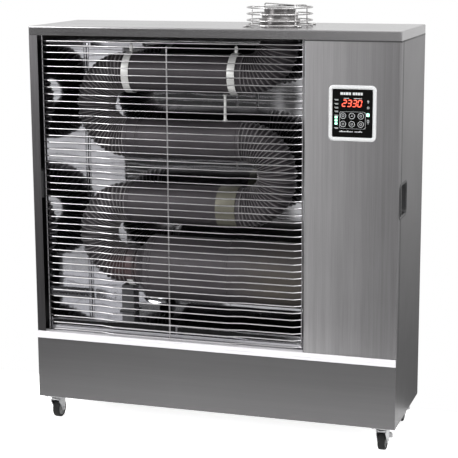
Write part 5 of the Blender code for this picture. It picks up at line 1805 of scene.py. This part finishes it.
@dataclass
class Studio:
    """A pale floor, soft lights and the camera.

    Attributes:
        eye: the camera's place.
        azimuth: its bearing round the heater, from straight in front towards the right, in degrees.
        elevation: how far it looks down, in degrees.
        roll: its tilt about its own line of sight, in degrees.
        lens: its focal length on a sensor 36 mm wide.
        gloom: how bright the room in front is.
        dusk: how much of its brightness the room keeps low down.
        screens: each white screen's bearing and half width, both in degrees, and its brightness.
    """

    eye: tuple[float, float, float] = (1.1355, -3.526, 1.264)
    azimuth: float = 17.8
    elevation: float = 11.3
    roll: float = -0.26
    lens: float = 112.4
    gloom: float = 0.05
    dusk: float = 0.30
    screens: tuple[tuple[float, float, float], ...] = ((28.0, 11.0, 1.0), (-6.0, 9.0, 0.8))

    def build(self) -> None:
        """Sets up the floor, the surround, the lights and the camera."""
        self.build_floor()
        self.build_surround()
        self.light("overhead", (0.3, 0.2, 3.4), (0.0, 0.0, 0.8), (3.2, 2.4), 55.0)
        self.light("left_front", (-2.6, -2.6, 2.4), (0.0, 0.0, 0.6), (1.6, 2.2), 108.0)
        self.light("right_front", (3.0, -2.0, 1.8), (0.2, 0.0, 0.6), (1.2, 2.0), 36.0)
        self.light("front_fill", (-0.2, -3.0, 0.9), (0.0, 0.0, 0.4), (2.6, 1.4), 85.0, False)
        self.build_camera()

    def build_floor(self) -> None:
        """A pale floor that melts into the white room round it."""
        shape = Shape()
        shape.box((-1.0, -0.55, -0.02), (1.0, 0.22, 0.0), 0.001)
        shape.done("studio_floor", FLOOR)

    def build_surround(self) -> None:
        """A white room behind and above, and a dark one in front with white screens at some bearings."""
        world = bpy.data.worlds.new("soft_surround")
        world.use_nodes = True
        graph = Graph(world.node_tree)
        direction = graph.add("ShaderNodeTexCoord").outputs["Generated"]
        x, y, z = graph.add("ShaderNodeSeparateXYZ", {0: direction}).outputs
        bearing = graph.math("ARCTAN2", x, graph.math("MULTIPLY", y, -1.0))
        away = graph.math("ABSOLUTE", bearing)
        level = graph.add("ShaderNodeMapRange", {0: away, 1: 0.55, 2: 1.5, 3: self.gloom, 4: 1.0}).outputs[0]
        for centre, half, bright in self.screens:
            away = graph.math("ABSOLUTE", graph.math("SUBTRACT", bearing, radians(centre)))
            edge = radians(half)
            screen = {0: away, 1: edge - 0.012, 2: edge + 0.012, 3: bright, 4: 0.0}
            level = graph.math("ADD", level, graph.add("ShaderNodeMapRange", screen).outputs[0])
        under = graph.add("ShaderNodeMapRange", {0: z, 1: -0.30, 2: -0.06, 3: self.dusk, 4: 1.0}).outputs[0]
        level = graph.math("MULTIPLY", level, under)
        over = graph.add("ShaderNodeMapRange", {0: z, 1: 0.20, 2: 0.60}).outputs[0]
        level = graph.add("ShaderNodeMix", {0: over, 2: level, 3: 0.9}).outputs[0]
        seen = graph.add("ShaderNodeLightPath").outputs["Is Camera Ray"]
        back = world.node_tree.nodes["Background"].inputs
        graph.feed(back["Strength"], graph.math("MAXIMUM", level, seen))
        graph.feed(back["Color"], (1.0, 1.0, 1.0, 1.0))
        bpy.context.scene.world = world

    def light(self, name: str, spot: Sequence[float], aim: Sequence[float], size: Flat, power: float,
              mirrored: bool = True) -> None:
        """One soft rectangular light that faces a point, seen in gloss or not."""
        lamp = bpy.data.lights.new(name, "AREA")
        lamp.shape = "RECTANGLE"
        lamp.size, lamp.size_y = size
        lamp.energy = power
        made = bpy.data.objects.new(name, lamp)
        made.location = spot
        made.rotation_euler = (Vector(aim) - Vector(spot)).to_track_quat("-Z", "Y").to_euler()
        made.visible_camera = False
        made.visible_glossy = mirrored
        bpy.context.scene.collection.objects.link(made)

    def build_camera(self) -> None:
        """The camera at its place and bearing."""
        data = bpy.data.cameras.new("camera")
        data.lens = self.lens
        data.sensor_width = 36.0
        camera = bpy.data.objects.new("camera", data)
        bearing = radians(self.azimuth)
        height = radians(self.elevation)
        back = Vector((sin(bearing) * cos(height), -cos(bearing) * cos(height), sin(height)))
        camera.location = self.eye
        turn = (-back).to_track_quat("-Z", "Y") @ Quaternion(Z_AXIS, radians(self.roll))
        camera.rotation_euler = turn.to_euler()
        bpy.context.scene.collection.objects.link(camera)
        bpy.context.scene.camera = camera
        bpy.context.scene.view_settings.view_transform = "Standard"


def main() -> None:
    """Builds each sub-assembly in turn, and clears the loose patterns away."""
    logging.basicConfig(level=logging.INFO, format="%(name)s: %(message)s")
    shop = Workshop()
    for assembly in (
        Studio(), Cabinet(shop), ReflectorBox(shop), Guard(shop), TubeBank(shop), FlueOutlet(shop),
        ControlPanel(shop), HandleCup(-1), HandleCup(1), BurnerBay(shop), FuelSystem(shop),
        CasterPlates(shop),
        Caster(shop, "front_left", False), Caster(shop, "front_right", True),
        Caster(shop, "rear_left", False), Caster(shop, "rear_right", True),
    ):
        assembly.build()
    for tool in [item for item in bpy.data.objects if item.name.endswith("_head")]:
        bpy.data.objects.remove(tool)


if __name__ == "__main__":
    main()
